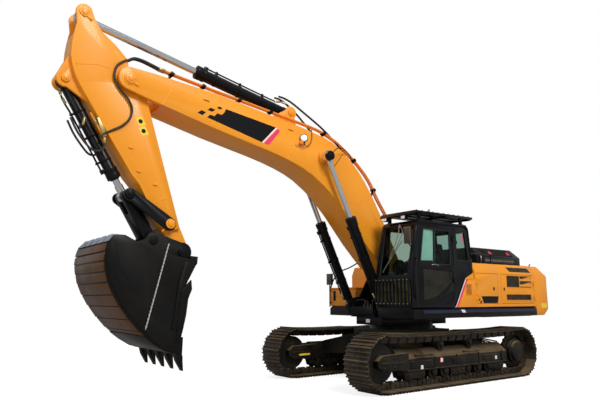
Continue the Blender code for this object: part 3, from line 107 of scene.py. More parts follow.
# ------------------------------------------------------------------- mesh tools
class Part:
    """One piece in the making: shapes are added to it in one side view."""

    def __init__(self, view=MACHINE):
        self.mesh = bmesh.new()
        self.view = view

    def loft(self, *rings, closed=True):
        """Rings of points joined one after the other, with both ends capped."""
        loops = [[self.mesh.verts.new(self.view @ Vector(p)) for p in ring] for ring in rings]
        count = len(loops[0])
        for first, second in zip(loops, loops[1:]):
            for index in range(count):
                after = (index + 1) % count
                self.mesh.faces.new((first[index], first[after], second[after], second[index]))
        if closed:
            self.mesh.faces.new(loops[0])
            self.mesh.faces.new(loops[-1])
        return self

    def plate(self, outline, y0, y1):
        """An (x, z) outline between two planes across the machine."""
        return self.loft([(x, y0, z) for x, z in outline], [(x, y1, z) for x, z in outline])

    def deck(self, outline, z0, z1):
        """An (x, y) outline between two heights."""
        return self.loft([(x, y, z0) for x, y in outline], [(x, y, z1) for x, y in outline])

    def raised(self, place, outline, low, high):
        """An outline on a leaning face, between two heights off that face."""
        return self.loft(*[[place(u, v, off) for u, v in outline] for off in (low, high)])

    def block(self, x0, x1, y0, y1, z0, z1):
        """A box between two corners."""
        return self.deck([(x0, y0), (x1, y0), (x1, y1), (x0, y1)], z0, z1)

    def tapered(self, *stations):
        """A box that changes along x: stations are (x, y0, y1, z0, z1)."""
        rings = [
            [(x, y0, z0), (x, y1, z0), (x, y1, z1), (x, y0, z1)] for x, y0, y1, z0, z1 in stations
        ]
        return self.loft(*rings)

    def turned(self, start, way, stations, sides=20):
        """A round piece: stations are (distance along way, radius) pairs."""
        start, way = Vector(start), Vector(way).normalized()
        across = way.orthogonal().normalized()
        other = way.cross(across)
        rings = []
        for distance, radius in stations:
            ring = []
            for step in range(sides):
                turn = 2 * math.pi * step / sides
                spoke = across * math.cos(turn) + other * math.sin(turn)
                ring.append(start + way * distance + spoke * radius)
            rings.append(ring)
        return self.loft(*rings)

    def rod(self, start, end, radius, sides=12):
        """A round bar between two points."""
        way = Vector(end) - Vector(start)
        return self.turned(start, way, ((0.0, radius), (way.length, radius)), sides)

    def pipe(self, points, radius, sides=8):
        """A round pipe or hose along a path, its ring carried without twist."""
        points = [Vector(p) for p in points]
        ways = [
            (points[min(i + 1, len(points) - 1)] - points[max(i - 1, 0)]).normalized()
            for i in range(len(points))
        ]
        across = ways[0].orthogonal().normalized()
        rings = []
        for point, way in zip(points, ways):
            across = (across - way * across.dot(way)).normalized()
            other = way.cross(across)
            ring = []
            for step in range(sides):
                turn = 2 * math.pi * step / sides
                ring.append(point + (across * math.cos(turn) + other * math.sin(turn)) * radius)
            rings.append(ring)
        return self.loft(*rings)

    def hose(self, points, radius, steps=4, sides=8):
        """A pipe along a smooth curve through a few points."""
        return self.pipe(flowing(points, steps), radius, sides)

    def done(self, name, finish, body, bevel=0.0, smooth=32):
        """Close the piece, give it its finish and let it ride on a body."""
        bmesh.ops.recalc_face_normals(self.mesh, faces=self.mesh.faces)
        mesh = bpy.data.meshes.new(name)
        self.mesh.to_mesh(mesh)
        self.mesh.free()
        piece = bpy.data.objects.new(name, mesh)
        bpy.context.scene.collection.objects.link(piece)
        mesh.materials.append(finish)
        round_edges(piece, bevel, smooth)
        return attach(piece, body)


def round_edges(piece, width, smooth=32):
    """Bevel the sharp edges, bake the bevel into the mesh and shade it."""
    if width:
        bevel = piece.modifiers.new("edges", "BEVEL")
        bevel.width = width
        bevel.segments = 2
        bevel.limit_method = "ANGLE"
        bevel.angle_limit = math.radians(smooth)
        bevel.harden_normals = False
        bpy.context.view_layer.update()
        shaped = piece.evaluated_get(bpy.context.evaluated_depsgraph_get())
        mesh = bpy.data.meshes.new_from_object(shaped)
        piece.modifiers.clear()
        piece.data = mesh
    piece.data.shade_smooth()
    piece.data.set_sharp_from_angle(angle=math.radians(smooth))


def flowing(points, steps=4):
    """Points on a smooth curve through the given points."""
    points = [Vector(p) for p in points]
    last = len(points) - 1
    path = []
    for index in range(last):
        before, here = points[max(index - 1, 0)], points[index]
        there, after = points[index + 1], points[min(index + 2, last)]
        for step in range(steps):
            t = step / steps
            path.append(
                0.5
                * (
                    2 * here
                    + (there - before) * t
                    + (2 * before - 5 * here + 4 * there - after) * t * t
                    + (3 * here - before - 3 * there + after) * t**3
                )
            )
    path.append(points[last])
    return path


def arc(centre, radius, start, end, steps):
    """Points on an arc, angles in degrees."""
    turns = [math.radians(start + (end - start) * step / steps) for step in range(steps + 1)]
    return [(centre[0] + radius * math.cos(a), centre[1] + radius * math.sin(a)) for a in turns]


def soften(node, finish, width=0.006, smooth=32):
    """A copy of a CAD node with rounded edges stands in for the node."""
    source = NODES[node]
    builder = bmesh.new()
    builder.from_mesh(source.data)
    bmesh.ops.remove_doubles(builder, verts=builder.verts, dist=0.00005)
    bmesh.ops.dissolve_limit(
        builder, angle_limit=math.radians(1.0), verts=builder.verts, edges=builder.edges
    )
    mesh = bpy.data.meshes.new(f"{node}_skin")
    builder.to_mesh(mesh)
    builder.free()
    mesh.materials.append(finish)
    piece = bpy.data.objects.new(f"{node}_skin", mesh)
    bpy.context.scene.collection.objects.link(piece)
    round_edges(piece, width, smooth)
    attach(piece, source["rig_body"])
    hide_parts(node)
    return piece


# -------------------------------------------------------------------- finishes
def add(tree, kind, values=None, **settings):
    """One shader node with its settings and socket values."""
    made = tree.nodes.new(kind)
    for key, value in settings.items():
        setattr(made, key, value)
    for key, value in (values or {}).items():
        made.inputs[key].default_value = value
    return made


def new_group(name, inputs, outputs):
    """An empty node group with its sockets; returns tree, input and output."""
    tree = bpy.data.node_groups.new(name, "ShaderNodeTree")
    for label, kind, value in inputs:
        socket = tree.interface.new_socket(label, in_out="INPUT", socket_type=kind)
        socket.default_value = value
    for label, kind in outputs:
        tree.interface.new_socket(label, in_out="OUTPUT", socket_type=kind)
    return tree, tree.nodes.new("NodeGroupInput"), tree.nodes.new("NodeGroupOutput")


def settled_dust():
    """Paint under dust: thick on faces that look up, thin patches elsewhere."""
    tree, given, result = new_group(
        "settled_dust",
        (
            ("Paint", "NodeSocketColor", (0.5, 0.5, 0.5, 1.0)),
            ("Dust", "NodeSocketColor", (0.24, 0.16, 0.09, 1.0)),
            ("Upward", "NodeSocketFloat", 0.5),
            ("All Over", "NodeSocketFloat", 0.1),
            ("Scale", "NodeSocketFloat", 2.0),
        ),
        (("Color", "NodeSocketColor"), ("Mask", "NodeSocketFloat")),
    )
    link = tree.links.new
    place = add(tree, "ShaderNodeTexCoord")
    broad = add(tree, "ShaderNodeTexNoise", {"Detail": 7.0, "Roughness": 0.62})
    link(place.outputs["Object"], broad.inputs["Vector"])
    link(given.outputs["Scale"], broad.inputs["Scale"])
    patches = add(tree, "ShaderNodeMapRange", {"From Min": 0.42, "From Max": 0.68})
    link(broad.outputs["Fac"], patches.inputs["Value"])
    thin = add(tree, "ShaderNodeMath", operation="MULTIPLY")
    link(patches.outputs["Result"], thin.inputs[0])
    link(given.outputs["All Over"], thin.inputs[1])

    geometry = add(tree, "ShaderNodeNewGeometry")
    facing = add(tree, "ShaderNodeSeparateXYZ")
    link(geometry.outputs["Normal"], facing.inputs["Vector"])
    up = add(tree, "ShaderNodeMapRange", {"From Min": 0.25, "From Max": 0.85})
    link(facing.outputs["Z"], up.inputs["Value"])
    speckle = add(tree, "ShaderNodeMapRange", {"From Min": 0.3, "From Max": 0.55, "To Min": 0.45})
    link(broad.outputs["Fac"], speckle.inputs["Value"])
    settled = add(tree, "ShaderNodeMath", operation="MULTIPLY")
    link(up.outputs["Result"], settled.inputs[0])
    link(speckle.outputs["Result"], settled.inputs[1])
    thick = add(tree, "ShaderNodeMath", operation="MULTIPLY")
    link(settled.outputs["Value"], thick.inputs[0])
    link(given.outputs["Upward"], thick.inputs[1])
    cover = add(tree, "ShaderNodeMath", operation="MAXIMUM", use_clamp=True)
    link(thin.outputs["Value"], cover.inputs[0])
    link(thick.outputs["Value"], cover.inputs[1])
    blend = add(tree, "ShaderNodeMix", data_type="RGBA")
    link(cover.outputs["Value"], blend.inputs[MIX_FACTOR])
    link(given.outputs["Paint"], blend.inputs[MIX_FIRST])
    link(given.outputs["Dust"], blend.inputs[MIX_SECOND])
    link(blend.outputs[MIX_RESULT], result.inputs["Color"])
    link(cover.outputs["Value"], result.inputs["Mask"])
    return tree


def uneven_tone():
    """A colour with slow cloudy changes of tone, and a height for fine grain."""
    tree, given, result = new_group(
        "uneven_tone",
        (
            ("Tone", "NodeSocketColor", (0.5, 0.5, 0.5, 1.0)),
            ("Other", "NodeSocketColor", (0.4, 0.4, 0.4, 1.0)),
            ("Cloud Scale", "NodeSocketFloat", 1.0),
            ("Grain Scale", "NodeSocketFloat", 60.0),
        ),
        (("Color", "NodeSocketColor"), ("Grain", "NodeSocketFloat")),
    )
    link = tree.links.new
    place = add(tree, "ShaderNodeTexCoord")
    cloud = add(tree, "ShaderNodeTexNoise", {"Detail": 4.0, "Roughness": 0.5})
    grain = add(tree, "ShaderNodeTexNoise", {"Detail": 3.0, "Roughness": 0.6})
    for noise, scale in ((cloud, "Cloud Scale"), (grain, "Grain Scale")):
        link(place.outputs["Object"], noise.inputs["Vector"])
        link(given.outputs[scale], noise.inputs["Scale"])
    spread = add(tree, "ShaderNodeMapRange", {"From Min": 0.35, "From Max": 0.65})
    link(cloud.outputs["Fac"], spread.inputs["Value"])
    blend = add(tree, "ShaderNodeMix", data_type="RGBA")
    link(spread.outputs["Result"], blend.inputs[MIX_FACTOR])
    link(given.outputs["Tone"], blend.inputs[MIX_FIRST])
    link(given.outputs["Other"], blend.inputs[MIX_SECOND])
    link(blend.outputs[MIX_RESULT], result.inputs["Color"])
    link(grain.outputs["Fac"], result.inputs["Grain"])
    return tree


DUST_GROUP = settled_dust()
TONE_GROUP = uneven_tone()
EARTH = (0.27, 0.175, 0.095)


def surface(
    name,
    tone,
    other=None,
    rough=0.4,
    metal=0.0,
    coat=0.0,
    up=0.0,
    over=0.0,
    scale=2.0,
    cloud=1.0,
    grain=60.0,
    depth=0.0,
    dust=EARTH,
    specular=0.5,
):
    """A finish: uneven tone under settled dust, rougher where the dust lies; in some finishes the
    second tone and the dust colour are a painted reflection.
    """
    finish = bpy.data.materials.new(name)
    finish.use_nodes = True
    tree = finish.node_tree
    link = tree.links.new
    shader = tree.nodes["Principled BSDF"]
    shader.inputs["Metallic"].default_value = metal
    shader.inputs["Coat Weight"].default_value = coat
    shader.inputs["Coat Roughness"].default_value = 0.08
    shader.inputs["Specular IOR Level"].default_value = specular
    toned = add(tree, "ShaderNodeGroup", node_tree=TONE_GROUP)
    toned.inputs["Tone"].default_value = (*tone, 1.0)
    toned.inputs["Other"].default_value = (*(other or tone), 1.0)
    toned.inputs["Cloud Scale"].default_value = cloud
    toned.inputs["Grain Scale"].default_value = grain
    dusty = add(tree, "ShaderNodeGroup", node_tree=DUST_GROUP)
    dusty.inputs["Dust"].default_value = (*dust, 1.0)
    dusty.inputs["Upward"].default_value = up
    dusty.inputs["All Over"].default_value = over
    dusty.inputs["Scale"].default_value = scale
    link(toned.outputs["Color"], dusty.inputs["Paint"])
    link(dusty.outputs["Color"], shader.inputs["Base Color"])
    dull = add(tree, "ShaderNodeMapRange", {"To Min": rough, "To Max": 0.92})
    link(dusty.outputs["Mask"], dull.inputs["Value"])
    link(dull.outputs["Result"], shader.inputs["Roughness"])
    if depth:
        bump = add(tree, "ShaderNodeBump", {"Strength": 0.6, "Distance": depth})
        link(toned.outputs["Grain"], bump.inputs["Height"])
        link(bump.outputs["Normal"], shader.inputs["Normal"])
    return finish


def pane(name, tint, rough=0.03):
    """Thin glass that lets the inside show."""
    finish = bpy.data.materials.new(name)
    finish.use_nodes = True
    tree = finish.node_tree
    shader = tree.nodes["Principled BSDF"]
    shader.inputs["Base Color"].default_value = (*tint, 1.0)
    shader.inputs["Roughness"].default_value = rough
    shader.inputs["Transmission Weight"].default_value = 1.0
    shader.inputs["IOR"].default_value = 1.12
    return finish


def glowing(name, colour, strength):
    """A lens that shows bright."""
    finish = surface(name, colour, rough=0.15, coat=0.4)
    shader = finish.node_tree.nodes["Principled BSDF"]
    shader.inputs["Emission Color"].default_value = (*colour, 1.0)
    shader.inputs["Emission Strength"].default_value = strength
    return finish


ORANGE = surface(
    "orange_paint", (0.96, 0.355, 0.016), (0.93, 0.325, 0.013), 0.38, coat=0.1, up=0.06,
    over=0.03, scale=1.6, cloud=0.7, grain=240.0, depth=0.0004, specular=0.35,
)
ORANGE_PIPE = surface("orange_pipe", (0.88, 0.28, 0.015), rough=0.35, coat=0.3, over=0.1)
BLACK = surface(
    "black_paint", (0.0035, 0.0035, 0.0045), (0.006, 0.006, 0.008), 0.3, coat=0.03, up=0.04,
    over=0.012, scale=2.4, grain=180.0, depth=0.0003, specular=0.16,
)
CAB_BLACK = surface(
    "cab_black", (0.003, 0.0035, 0.005), (0.005, 0.0055, 0.008), 0.22, coat=0.04, up=0.03,
    over=0.006, scale=2.0, specular=0.16,
)
HOSE = surface("rubber_hose", (0.012, 0.012, 0.013), rough=0.62, over=0.18, scale=9.0)
RUBBER = surface("rubber_seal", (0.01, 0.01, 0.01), rough=0.75)
BUCKET_BLACK = surface(
    "bucket_black", (0.003, 0.003, 0.003), (0.006, 0.0055, 0.005), 0.36, coat=0.02, up=0.06,
    over=0.015, scale=2.2, cloud=2.5, grain=70.0, depth=0.001, specular=0.16,
)
# the dark base is the strips' own steel; the brown-orange second tone and the brown given as dust
# are a painted reflection
WEAR_PLATE_AND_REFLECTION = surface(
    "wear_plate_painted_reflection", (0.014, 0.008, 0.004), (0.125, 0.045, 0.008), 0.34, metal=0.35, up=0.12,
    over=0.16, scale=3.5, cloud=1.0, grain=90.0, depth=0.001, dust=(0.1, 0.055, 0.014),
    specular=0.3,
)
TRACK_STEEL = surface(
    "track_steel", (0.01, 0.008, 0.006), (0.03, 0.022, 0.013), 0.4, metal=0.35, up=0.8,
    over=0.24, scale=5.0, cloud=4.0, grain=80.0, depth=0.0012, dust=(0.23, 0.155, 0.085),
)
UNDER_BLACK = surface(
    "undercarriage_black", (0.004, 0.004, 0.004), (0.009, 0.008, 0.006), 0.38, up=0.85,
    over=0.07, scale=2.6, cloud=2.0, grain=60.0, depth=0.0009, dust=(0.22, 0.15, 0.075),
    specular=0.2,
)
CHROME = surface("bright_rod", (0.72, 0.74, 0.77), (0.66, 0.68, 0.71), 0.1, 1.0, over=0.04)
STEEL = surface("plain_steel", (0.42, 0.41, 0.39), (0.3, 0.29, 0.27), 0.34, 0.9, over=0.2)
BRASS = surface("brass_fitting", (0.55, 0.4, 0.16), (0.42, 0.3, 0.12), 0.32, 0.9, over=0.15)
GRILLE = surface("grille_mesh", (0.01, 0.009, 0.008), (0.055, 0.04, 0.012), 0.55, cloud=9.0)
DECAL_BLACK = surface("decal_black", (0.004, 0.0045, 0.006), rough=0.32, coat=0.02, specular=0.18)
DECAL_WHITE = surface("decal_white", (0.88, 0.86, 0.84), rough=0.3, coat=0.4)
DECAL_PINK = surface("decal_pink", (0.86, 0.035, 0.13), rough=0.3, coat=0.4)
DECAL_YELLOW = surface("decal_yellow", (0.93, 0.66, 0.03), rough=0.35, coat=0.3)
RED_MARK = surface("red_mark", (0.62, 0.03, 0.03), rough=0.35, coat=0.3)
LENS = glowing("lamp_lens", (0.9, 0.92, 0.95), 0.25)
MIRROR = surface("mirror_glass", (0.55, 0.57, 0.6), rough=0.04, metal=1.0)
TRIM = surface(
    "cab_trim", (0.045, 0.045, 0.048), (0.06, 0.058, 0.056), 0.65, grain=400.0, depth=0.0003
)
CLOTH = surface(
    "seat_cloth", (0.028, 0.028, 0.032), (0.05, 0.05, 0.055), 0.92, cloud=22.0, grain=900.0,
    depth=0.0009
)
CHAIN = surface("chain_white", (0.72, 0.7, 0.66), rough=0.45, over=0.25)
SIDE_GLASS = pane("side_glass", (0.6, 0.8, 0.72))
SCREEN_GLASS = pane("screen_glass", (0.78, 0.84, 0.76))
MINT_GLASS = surface("mint_glass", (0.42, 0.68, 0.58), (0.36, 0.62, 0.53), 0.1, coat=0.6, cloud=3.0)
MIRROR_BACK = surface(
    "mirror_back", (0.085, 0.055, 0.035), (0.05, 0.035, 0.025), 0.35, coat=0.3, over=0.08
)
# painted reflection: a dark glossy blue that stands in for the sky's sheen on the skirt's bevel
PAINTED_BLUE_SHEEN = surface("painted_blue_sheen", (0.012, 0.018, 0.04), (0.008, 0.012, 0.028), 0.25, coat=0.2)
# painted reflection: a pale blue metal colour that stands in for the sky glinting on the bucket's
# top plates
PAINTED_SKY_GLINT = surface("painted_sky_glint", (0.3, 0.36, 0.45), (0.2, 0.24, 0.31), 0.3, metal=0.5, cloud=3.0)
# painted reflection: an opaque glossy olive with cloudy lighter patches that stands in for
# reflections on the lower front glass
OLIVE_PAINTED_REFLECTION = surface(
    "olive_painted_reflection", (0.02, 0.019, 0.006), (0.115, 0.098, 0.03), 0.12, coat=0.3, cloud=6.0
)
DARK_GLASS = surface(
    "dark_glass", (0.006, 0.0055, 0.004), (0.022, 0.018, 0.008), 0.06, coat=0.05, cloud=4.0,
    specular=0.25
)
# painted shade: a darker copy of the orange paint, for the recess behind the cheek louvre's slats
LOUVRE_PAINTED_SHADE = surface("louvre_painted_shade", (0.42, 0.13, 0.02), (0.3, 0.09, 0.015), 0.6, cloud=9.0)


# --------------------------------------------------------------- undercarriage
TRACK_RADIUS = 0.505
HALF_BASE = 2.01
HALF_GAUGE = 1.295
CARRIERS = (0.4, -0.46)
SHOE_COUNT = 49
GROUSERS = (-0.083, 0.0, 0.075)
LINK_PROFILE = [
    (-0.102, -0.052), (0.102, -0.052), (0.108, -0.11), (0.085, -0.168), (-0.085, -0.168),
    (-0.108, -0.11)
]


def track_line():
    """Side outline through the grouser tips, sagging between its carriers."""
    stops = (HALF_BASE, *CARRIERS, -HALF_BASE)
    top = 2 * TRACK_RADIUS
    heights = (top, top - 0.022, top - 0.022, top)
    line = []
    for x0, x1, z0, z1 in zip(stops, stops[1:], heights, heights[1:]):
        for step in range(4):
            t = step / 4
            line.append((x0 + (x1 - x0) * t, z0 + (z1 - z0) * t - 0.064 * t * (1 - t)))
    rear = arc((-HALF_BASE, TRACK_RADIUS), TRACK_RADIUS, 90, 270, 14)
    front = arc((HALF_BASE, TRACK_RADIUS), TRACK_RADIUS, -90, 90, 14)
    return [Vector(p) for p in line + rear + front[:-1]]


def along_track(line, share):
    """Point, travel direction and outward direction at a share of the loop."""
    edges = [line[(i + 1) % len(line)] - line[i] for i in range(len(line))]
    left = share * sum(edge.length for edge in edges)
    for start, edge in zip(line, edges):
        if left <= edge.length:
            way = edge.normalized()
            return start + way * left, way, Vector((way.y, -way.x))
        left -= edge.length
    return line[0], Vector((-1.0, 0.0)), Vector((0.0, 1.0))


def shoe_profile():
    """Shoe seen from the side: plate with three grousers, (travel, outward)."""
    points = [(-0.113, -0.052), (-0.113, -0.034)]
    for place in GROUSERS:
        points += [
            (place - 0.011, -0.034), (place - 0.006, 0.0), (place + 0.006, 0.0),
            (place + 0.011, -0.034)
        ]
    return points + [(0.104, -0.034), (0.116, -0.044), (0.112, -0.056), (0.1, -0.05)]


def make_tracks():
    """Track shoes, links and shoe bolts round each loop."""
    line = track_line()
    profile = shoe_profile()
    for name, side in SIDES:
        y = side * HALF_GAUGE
        shoes, links = Part(), Part()
        for index in range(SHOE_COUNT):
            point, way, out = along_track(line, (index + 0.5) / SHOE_COUNT)

            def place(travel, outward):
                spot = point + way * travel + out * outward
                return (spot.x, spot.y)

            shoes.plate([place(t, n) for t, n in profile], y - 0.3, y + 0.3)
            for inner in (-1, 1):
                links.plate(
                    [place(t, n) for t, n in LINK_PROFILE], y + inner * 0.052, y + inner * 0.088
                )
                links.plate(
                    [place(t * 0.3 - 0.05, n * 0.45 - 0.062) for t, n in LINK_PROFILE],
                    y + inner * 0.088, y + inner * 0.102
                )
            for travel in (-0.045, 0.036):
                for across in (-0.07, 0.07):
                    x, z = place(travel, -0.036)
                    links.turned(
                        (x, y + across, z), (out.x, 0.0, out.y), ((0.0, 0.013), (0.014, 0.013)), 6
                    )
        piece = shoes.done(f"track_shoes_{name}", TRACK_STEEL, "undercarriage", 0.0025, 40)
        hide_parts(f"track_{name}")
        links.done(f"track_links_{name}", TRACK_STEEL, "undercarriage", 0.0, 30)


def make_running_gear():
    """Roller flanges, sprocket teeth, idler blocks, motor cover and guards."""
    for name, side in SIDES:
        y = side * HALF_GAUGE
        rollers = Part()
        for index in range(9):
            x = (index - 4) * 0.335
            for inner in (-1, 1):
                rollers.turned(
                    (x, y + inner * 0.092, 0.275), (0, inner, 0),
                    ((0.0, 0.124), (0.014, 0.124), (0.02, 0.112)), 24
                )
                rollers.turned(
                    (x, y + inner * 0.112, 0.275), (0, inner, 0),
                    ((0.0, 0.07), (0.04, 0.062), (0.052, 0.03)), 18
                )
        for x in CARRIERS:
            for inner in (-1, 1):
                rollers.turned(
                    (x, y + inner * 0.078, 0.742), (0, inner, 0),
                    ((0.0, 0.092), (0.014, 0.092), (0.02, 0.08)), 24
                )
            rollers.turned(
                (x, y, 0.742), (0, side, 0), ((0.09, 0.05), (0.125, 0.048), (0.135, 0.036)), 18
            )
        rollers.done(f"roller_flanges_{name}", UNDER_BLACK, "undercarriage", 0.0, 30)
        guards = Part()
        for x0, x1 in ((-1.5, -1.02), (-0.24, 0.24), (1.0, 1.5)):
            for inner in (-1, 1):
                guards.plate(
                    [(x0, 0.345), (x1, 0.345), (x1 - 0.05, 0.2), (x0 + 0.05, 0.2)],
                    y + inner * 0.118, y + inner * 0.15
                )
                for x in (x0 + 0.09, x1 - 0.09):
                    guards.turned(
                        (x, y + inner * 0.15, 0.265), (0, inner, 0), ((0.0, 0.02), (0.014, 0.02)), 6
                    )
        guards.done(f"roller_guards_{name}", UNDER_BLACK, "undercarriage", 0.004)
        sprocket = Part()
        teeth = []
        for tooth in range(21):
            for share, radius in (
                (0.0, 0.33), (0.28, 0.332), (0.42, 0.372), (0.58, 0.372), (0.72, 0.332)
            ):
                turn = 2 * math.pi * (tooth + share) / 21
                teeth.append(
                    (-HALF_BASE + radius * math.cos(turn), TRACK_RADIUS + radius * math.sin(turn))
                )
        sprocket.plate(teeth, y - 0.03, y + 0.03)
        sprocket.done(f"sprocket_teeth_{name}", TRACK_STEEL, "undercarriage", 0.003)
        motor = Part()
        for index in range(12):
            turn = math.tau * index / 12
            spot = (
                -HALF_BASE + 0.185 * math.cos(turn), side * 1.468,
                TRACK_RADIUS + 0.185 * math.sin(turn)
            )
            motor.turned(spot, (0, side, 0), ((0.0, 0.016), (0.014, 0.016)), 6)
        for turn in (0.5, 2.6, 4.7):
            spot = (
                -HALF_BASE + 0.1 * math.cos(turn), side * 1.486, TRACK_RADIUS + 0.1 * math.sin(turn)
            )
            motor.turned(spot, (0, side, 0), ((0.0, 0.022), (0.012, 0.02)), 6)
        motor.turned(
            (-HALF_BASE, side * 1.396, TRACK_RADIUS), (0, side, 0),
            ((0.0, 0.262), (0.012, 0.262), (0.016, 0.255)), 32
        )
        motor.done(f"travel_motor_bolts_{name}", UNDER_BLACK, "undercarriage", 0.002)
        yoke = Part()
        for inner in (-1, 1):
            yoke.plate(
                [
                    (1.42, 0.36), (2.05, 0.39), (2.17, 0.45), (2.17, 0.56), (2.05, 0.64),
                    (1.42, 0.66)
                ],
                y + inner * 0.112, y + inner * 0.215
            )
            yoke.plate(
                [(1.55, 0.486), (2.1, 0.49), (2.1, 0.524), (1.55, 0.52)], y + inner * 0.215,
                y + inner * 0.226
            )
            for x, z in ((1.78, 0.43), (1.78, 0.585), (2.03, 0.43), (2.03, 0.585)):
                yoke.turned(
                    (x, y + inner * 0.214, z), (0, inner, 0), ((0.0, 0.02), (0.014, 0.02)), 6
                )
        yoke.done(f"idler_yoke_{name}", UNDER_BLACK, "undercarriage", 0.006)
        frame_side = Part()
        outer = side * 1.45
        for x0, x1 in ((-1.28, -0.8), (-0.2, 0.16), (0.72, 1.3)):
            frame_side.plate(
                [(x0, 0.385), (x1, 0.385), (x1, 0.5), (x0, 0.5)], outer - side * 0.01,
                outer + side * 0.012
            )
        for x in (-1.42, -0.66, 0.02, 0.66, 1.38):
            frame_side.block(
                x - 0.011, x + 0.011, outer - side * 0.17, outer + side * 0.01, 0.345, 0.56
            )
        frame_side.block(-1.56, 1.55, outer - side * 0.005, outer + side * 0.022, 0.332, 0.352)
        frame_side.done(f"track_frame_ribs_{name}", UNDER_BLACK, "undercarriage", 0.004)
        steps = Part()
        for x in (-0.62, 0.74):
            for low in (0.0, 0.16):
                steps.hose(
                    [
                        (x, side * 1.4, 0.6), (x, side * 1.49, 0.6),
                        (x + 0.12 + low, side * 1.5, 0.6), (x + 0.24 + low, side * 1.49, 0.6),
                        (x + 0.24 + low, side * 1.4, 0.6)
                    ],
                    0.013
                )
        steps.done(f"track_steps_{name}", UNDER_BLACK, "undercarriage", 0.0)


def make_slewing_details():
    """Bolt circle of the slewing ring and the swivel pipes."""
    ring = Part()
    for index in range(36):
        turn = math.tau * index / 36
        ring.turned(
            (0.64 * math.cos(turn), 0.64 * math.sin(turn), 1.072), (0, 0, -1),
            ((0.0, 0.016), (0.016, 0.016)), 6
        )
        ring.turned(
            (0.7 * math.cos(turn), 0.7 * math.sin(turn), 1.15), (math.cos(turn), math.sin(turn), 0),
            ((-0.03, 0.012), (0.004, 0.012)), 6
        )
    ring.done("slewing_bolts", UNDER_BLACK, "undercarriage", 0.0)
    lines = Part()
    for side in (-1, 1):
        for shift in (0.0, 0.05, 0.1):
            lines.hose(
                [
                    (-0.55 - shift, side * 0.35, 0.99), (-0.85 - shift, side * 0.55, 0.9),
                    (-1.35, side * 0.9, 0.74 + shift * 0.5), (-1.75, side * 1.13, 0.6 + shift)
                ],
                0.015, 5
            )
    lines.done("travel_hoses", HOSE, "undercarriage")


# --------------------------------------------------------- stage, light, camera
def make_stage():
    """Pale floor, soft light and the camera."""
    scene = bpy.context.scene
    bpy.ops.mesh.primitive_plane_add(size=400.0, location=(0.0, 0.0, 0.0))
    floor = bpy.context.object
    floor.name = "floor"
    paint = bpy.data.materials.new("floor_white")
    paint.use_nodes = True
    shader = paint.node_tree.nodes["Principled BSDF"]
    shader.inputs["Base Color"].default_value = (0.42, 0.41, 0.4, 1.0)
    shader.inputs["Roughness"].default_value = 0.85
    shader.inputs["Specular IOR Level"].default_value = 0.1
    shader.inputs["Emission Color"].default_value = (1.0, 1.0, 1.0, 1.0)
    seen = add(paint.node_tree, "ShaderNodeLightPath")
    lift = add(paint.node_tree, "ShaderNodeMath", {1: 0.8})
    lift.operation = "MULTIPLY"
    paint.node_tree.links.new(seen.outputs["Is Camera Ray"], lift.inputs[0])
    paint.node_tree.links.new(lift.outputs["Value"], shader.inputs["Emission Strength"])
    floor.data.materials.append(paint)

    world = bpy.data.worlds.new("studio")
    scene.world = world
    world.use_nodes = True
    sky = world.node_tree.nodes["Background"]
    sky.inputs["Color"].default_value = (1.0, 1.0, 1.0, 1.0)
    sky.inputs["Strength"].default_value = 0.46
    shown = add(world.node_tree, "ShaderNodeBackground", {"Strength": 1.0})
    shown.inputs["Color"].default_value = (1.0, 1.0, 1.0, 1.0)
    ray = add(world.node_tree, "ShaderNodeLightPath")
    blend = add(world.node_tree, "ShaderNodeMixShader")
    output = world.node_tree.nodes["World Output"]
    world.node_tree.links.new(ray.outputs["Is Camera Ray"], blend.inputs[0])
    world.node_tree.links.new(sky.outputs["Background"], blend.inputs[1])
    world.node_tree.links.new(shown.outputs["Background"], blend.inputs[2])
    world.node_tree.links.new(blend.outputs["Shader"], output.inputs["Surface"])
    lamps = (
        ("key", (2.0, 16.0, 17.0), (1.0, 0.0, 2.4), 7.0, 2950.0),
        ("front", (17.0, 6.0, 7.0), (2.0, 0.0, 2.2), 7.0, 330.0),
        ("rim", (-12.0, -9.0, 11.0), (-1.0, 0.0, 2.0), 8.0, 500.0),
    )
    for name, place, aim, size, power in lamps:
        data = bpy.data.lights.new(name, "AREA")
        data.size = size
        data.energy = power
        lamp = bpy.data.objects.new(name, data)
        lamp.location = place
        lamp.rotation_euler = (Vector(aim) - Vector(place)).to_track_quat("-Z", "Y").to_euler()
        scene.collection.objects.link(lamp)

    view = bpy.data.cameras.new("camera")
    view.lens = 33.33
    view.sensor_width = 36.0
    view.clip_end = 500.0
    camera = bpy.data.objects.new("camera", view)
    camera.location = (7.151, 8.509, 1.595)
    yaw, pitch = math.radians(-126.51), math.radians(10.12)
    way = Vector(
        (math.cos(yaw) * math.cos(pitch), math.sin(yaw) * math.cos(pitch), math.sin(pitch))
    )
    camera.rotation_euler = way.to_track_quat("-Z", "Y").to_euler()
    scene.collection.objects.link(camera)
    scene.camera = camera
    scene.view_settings.view_transform = "Standard"


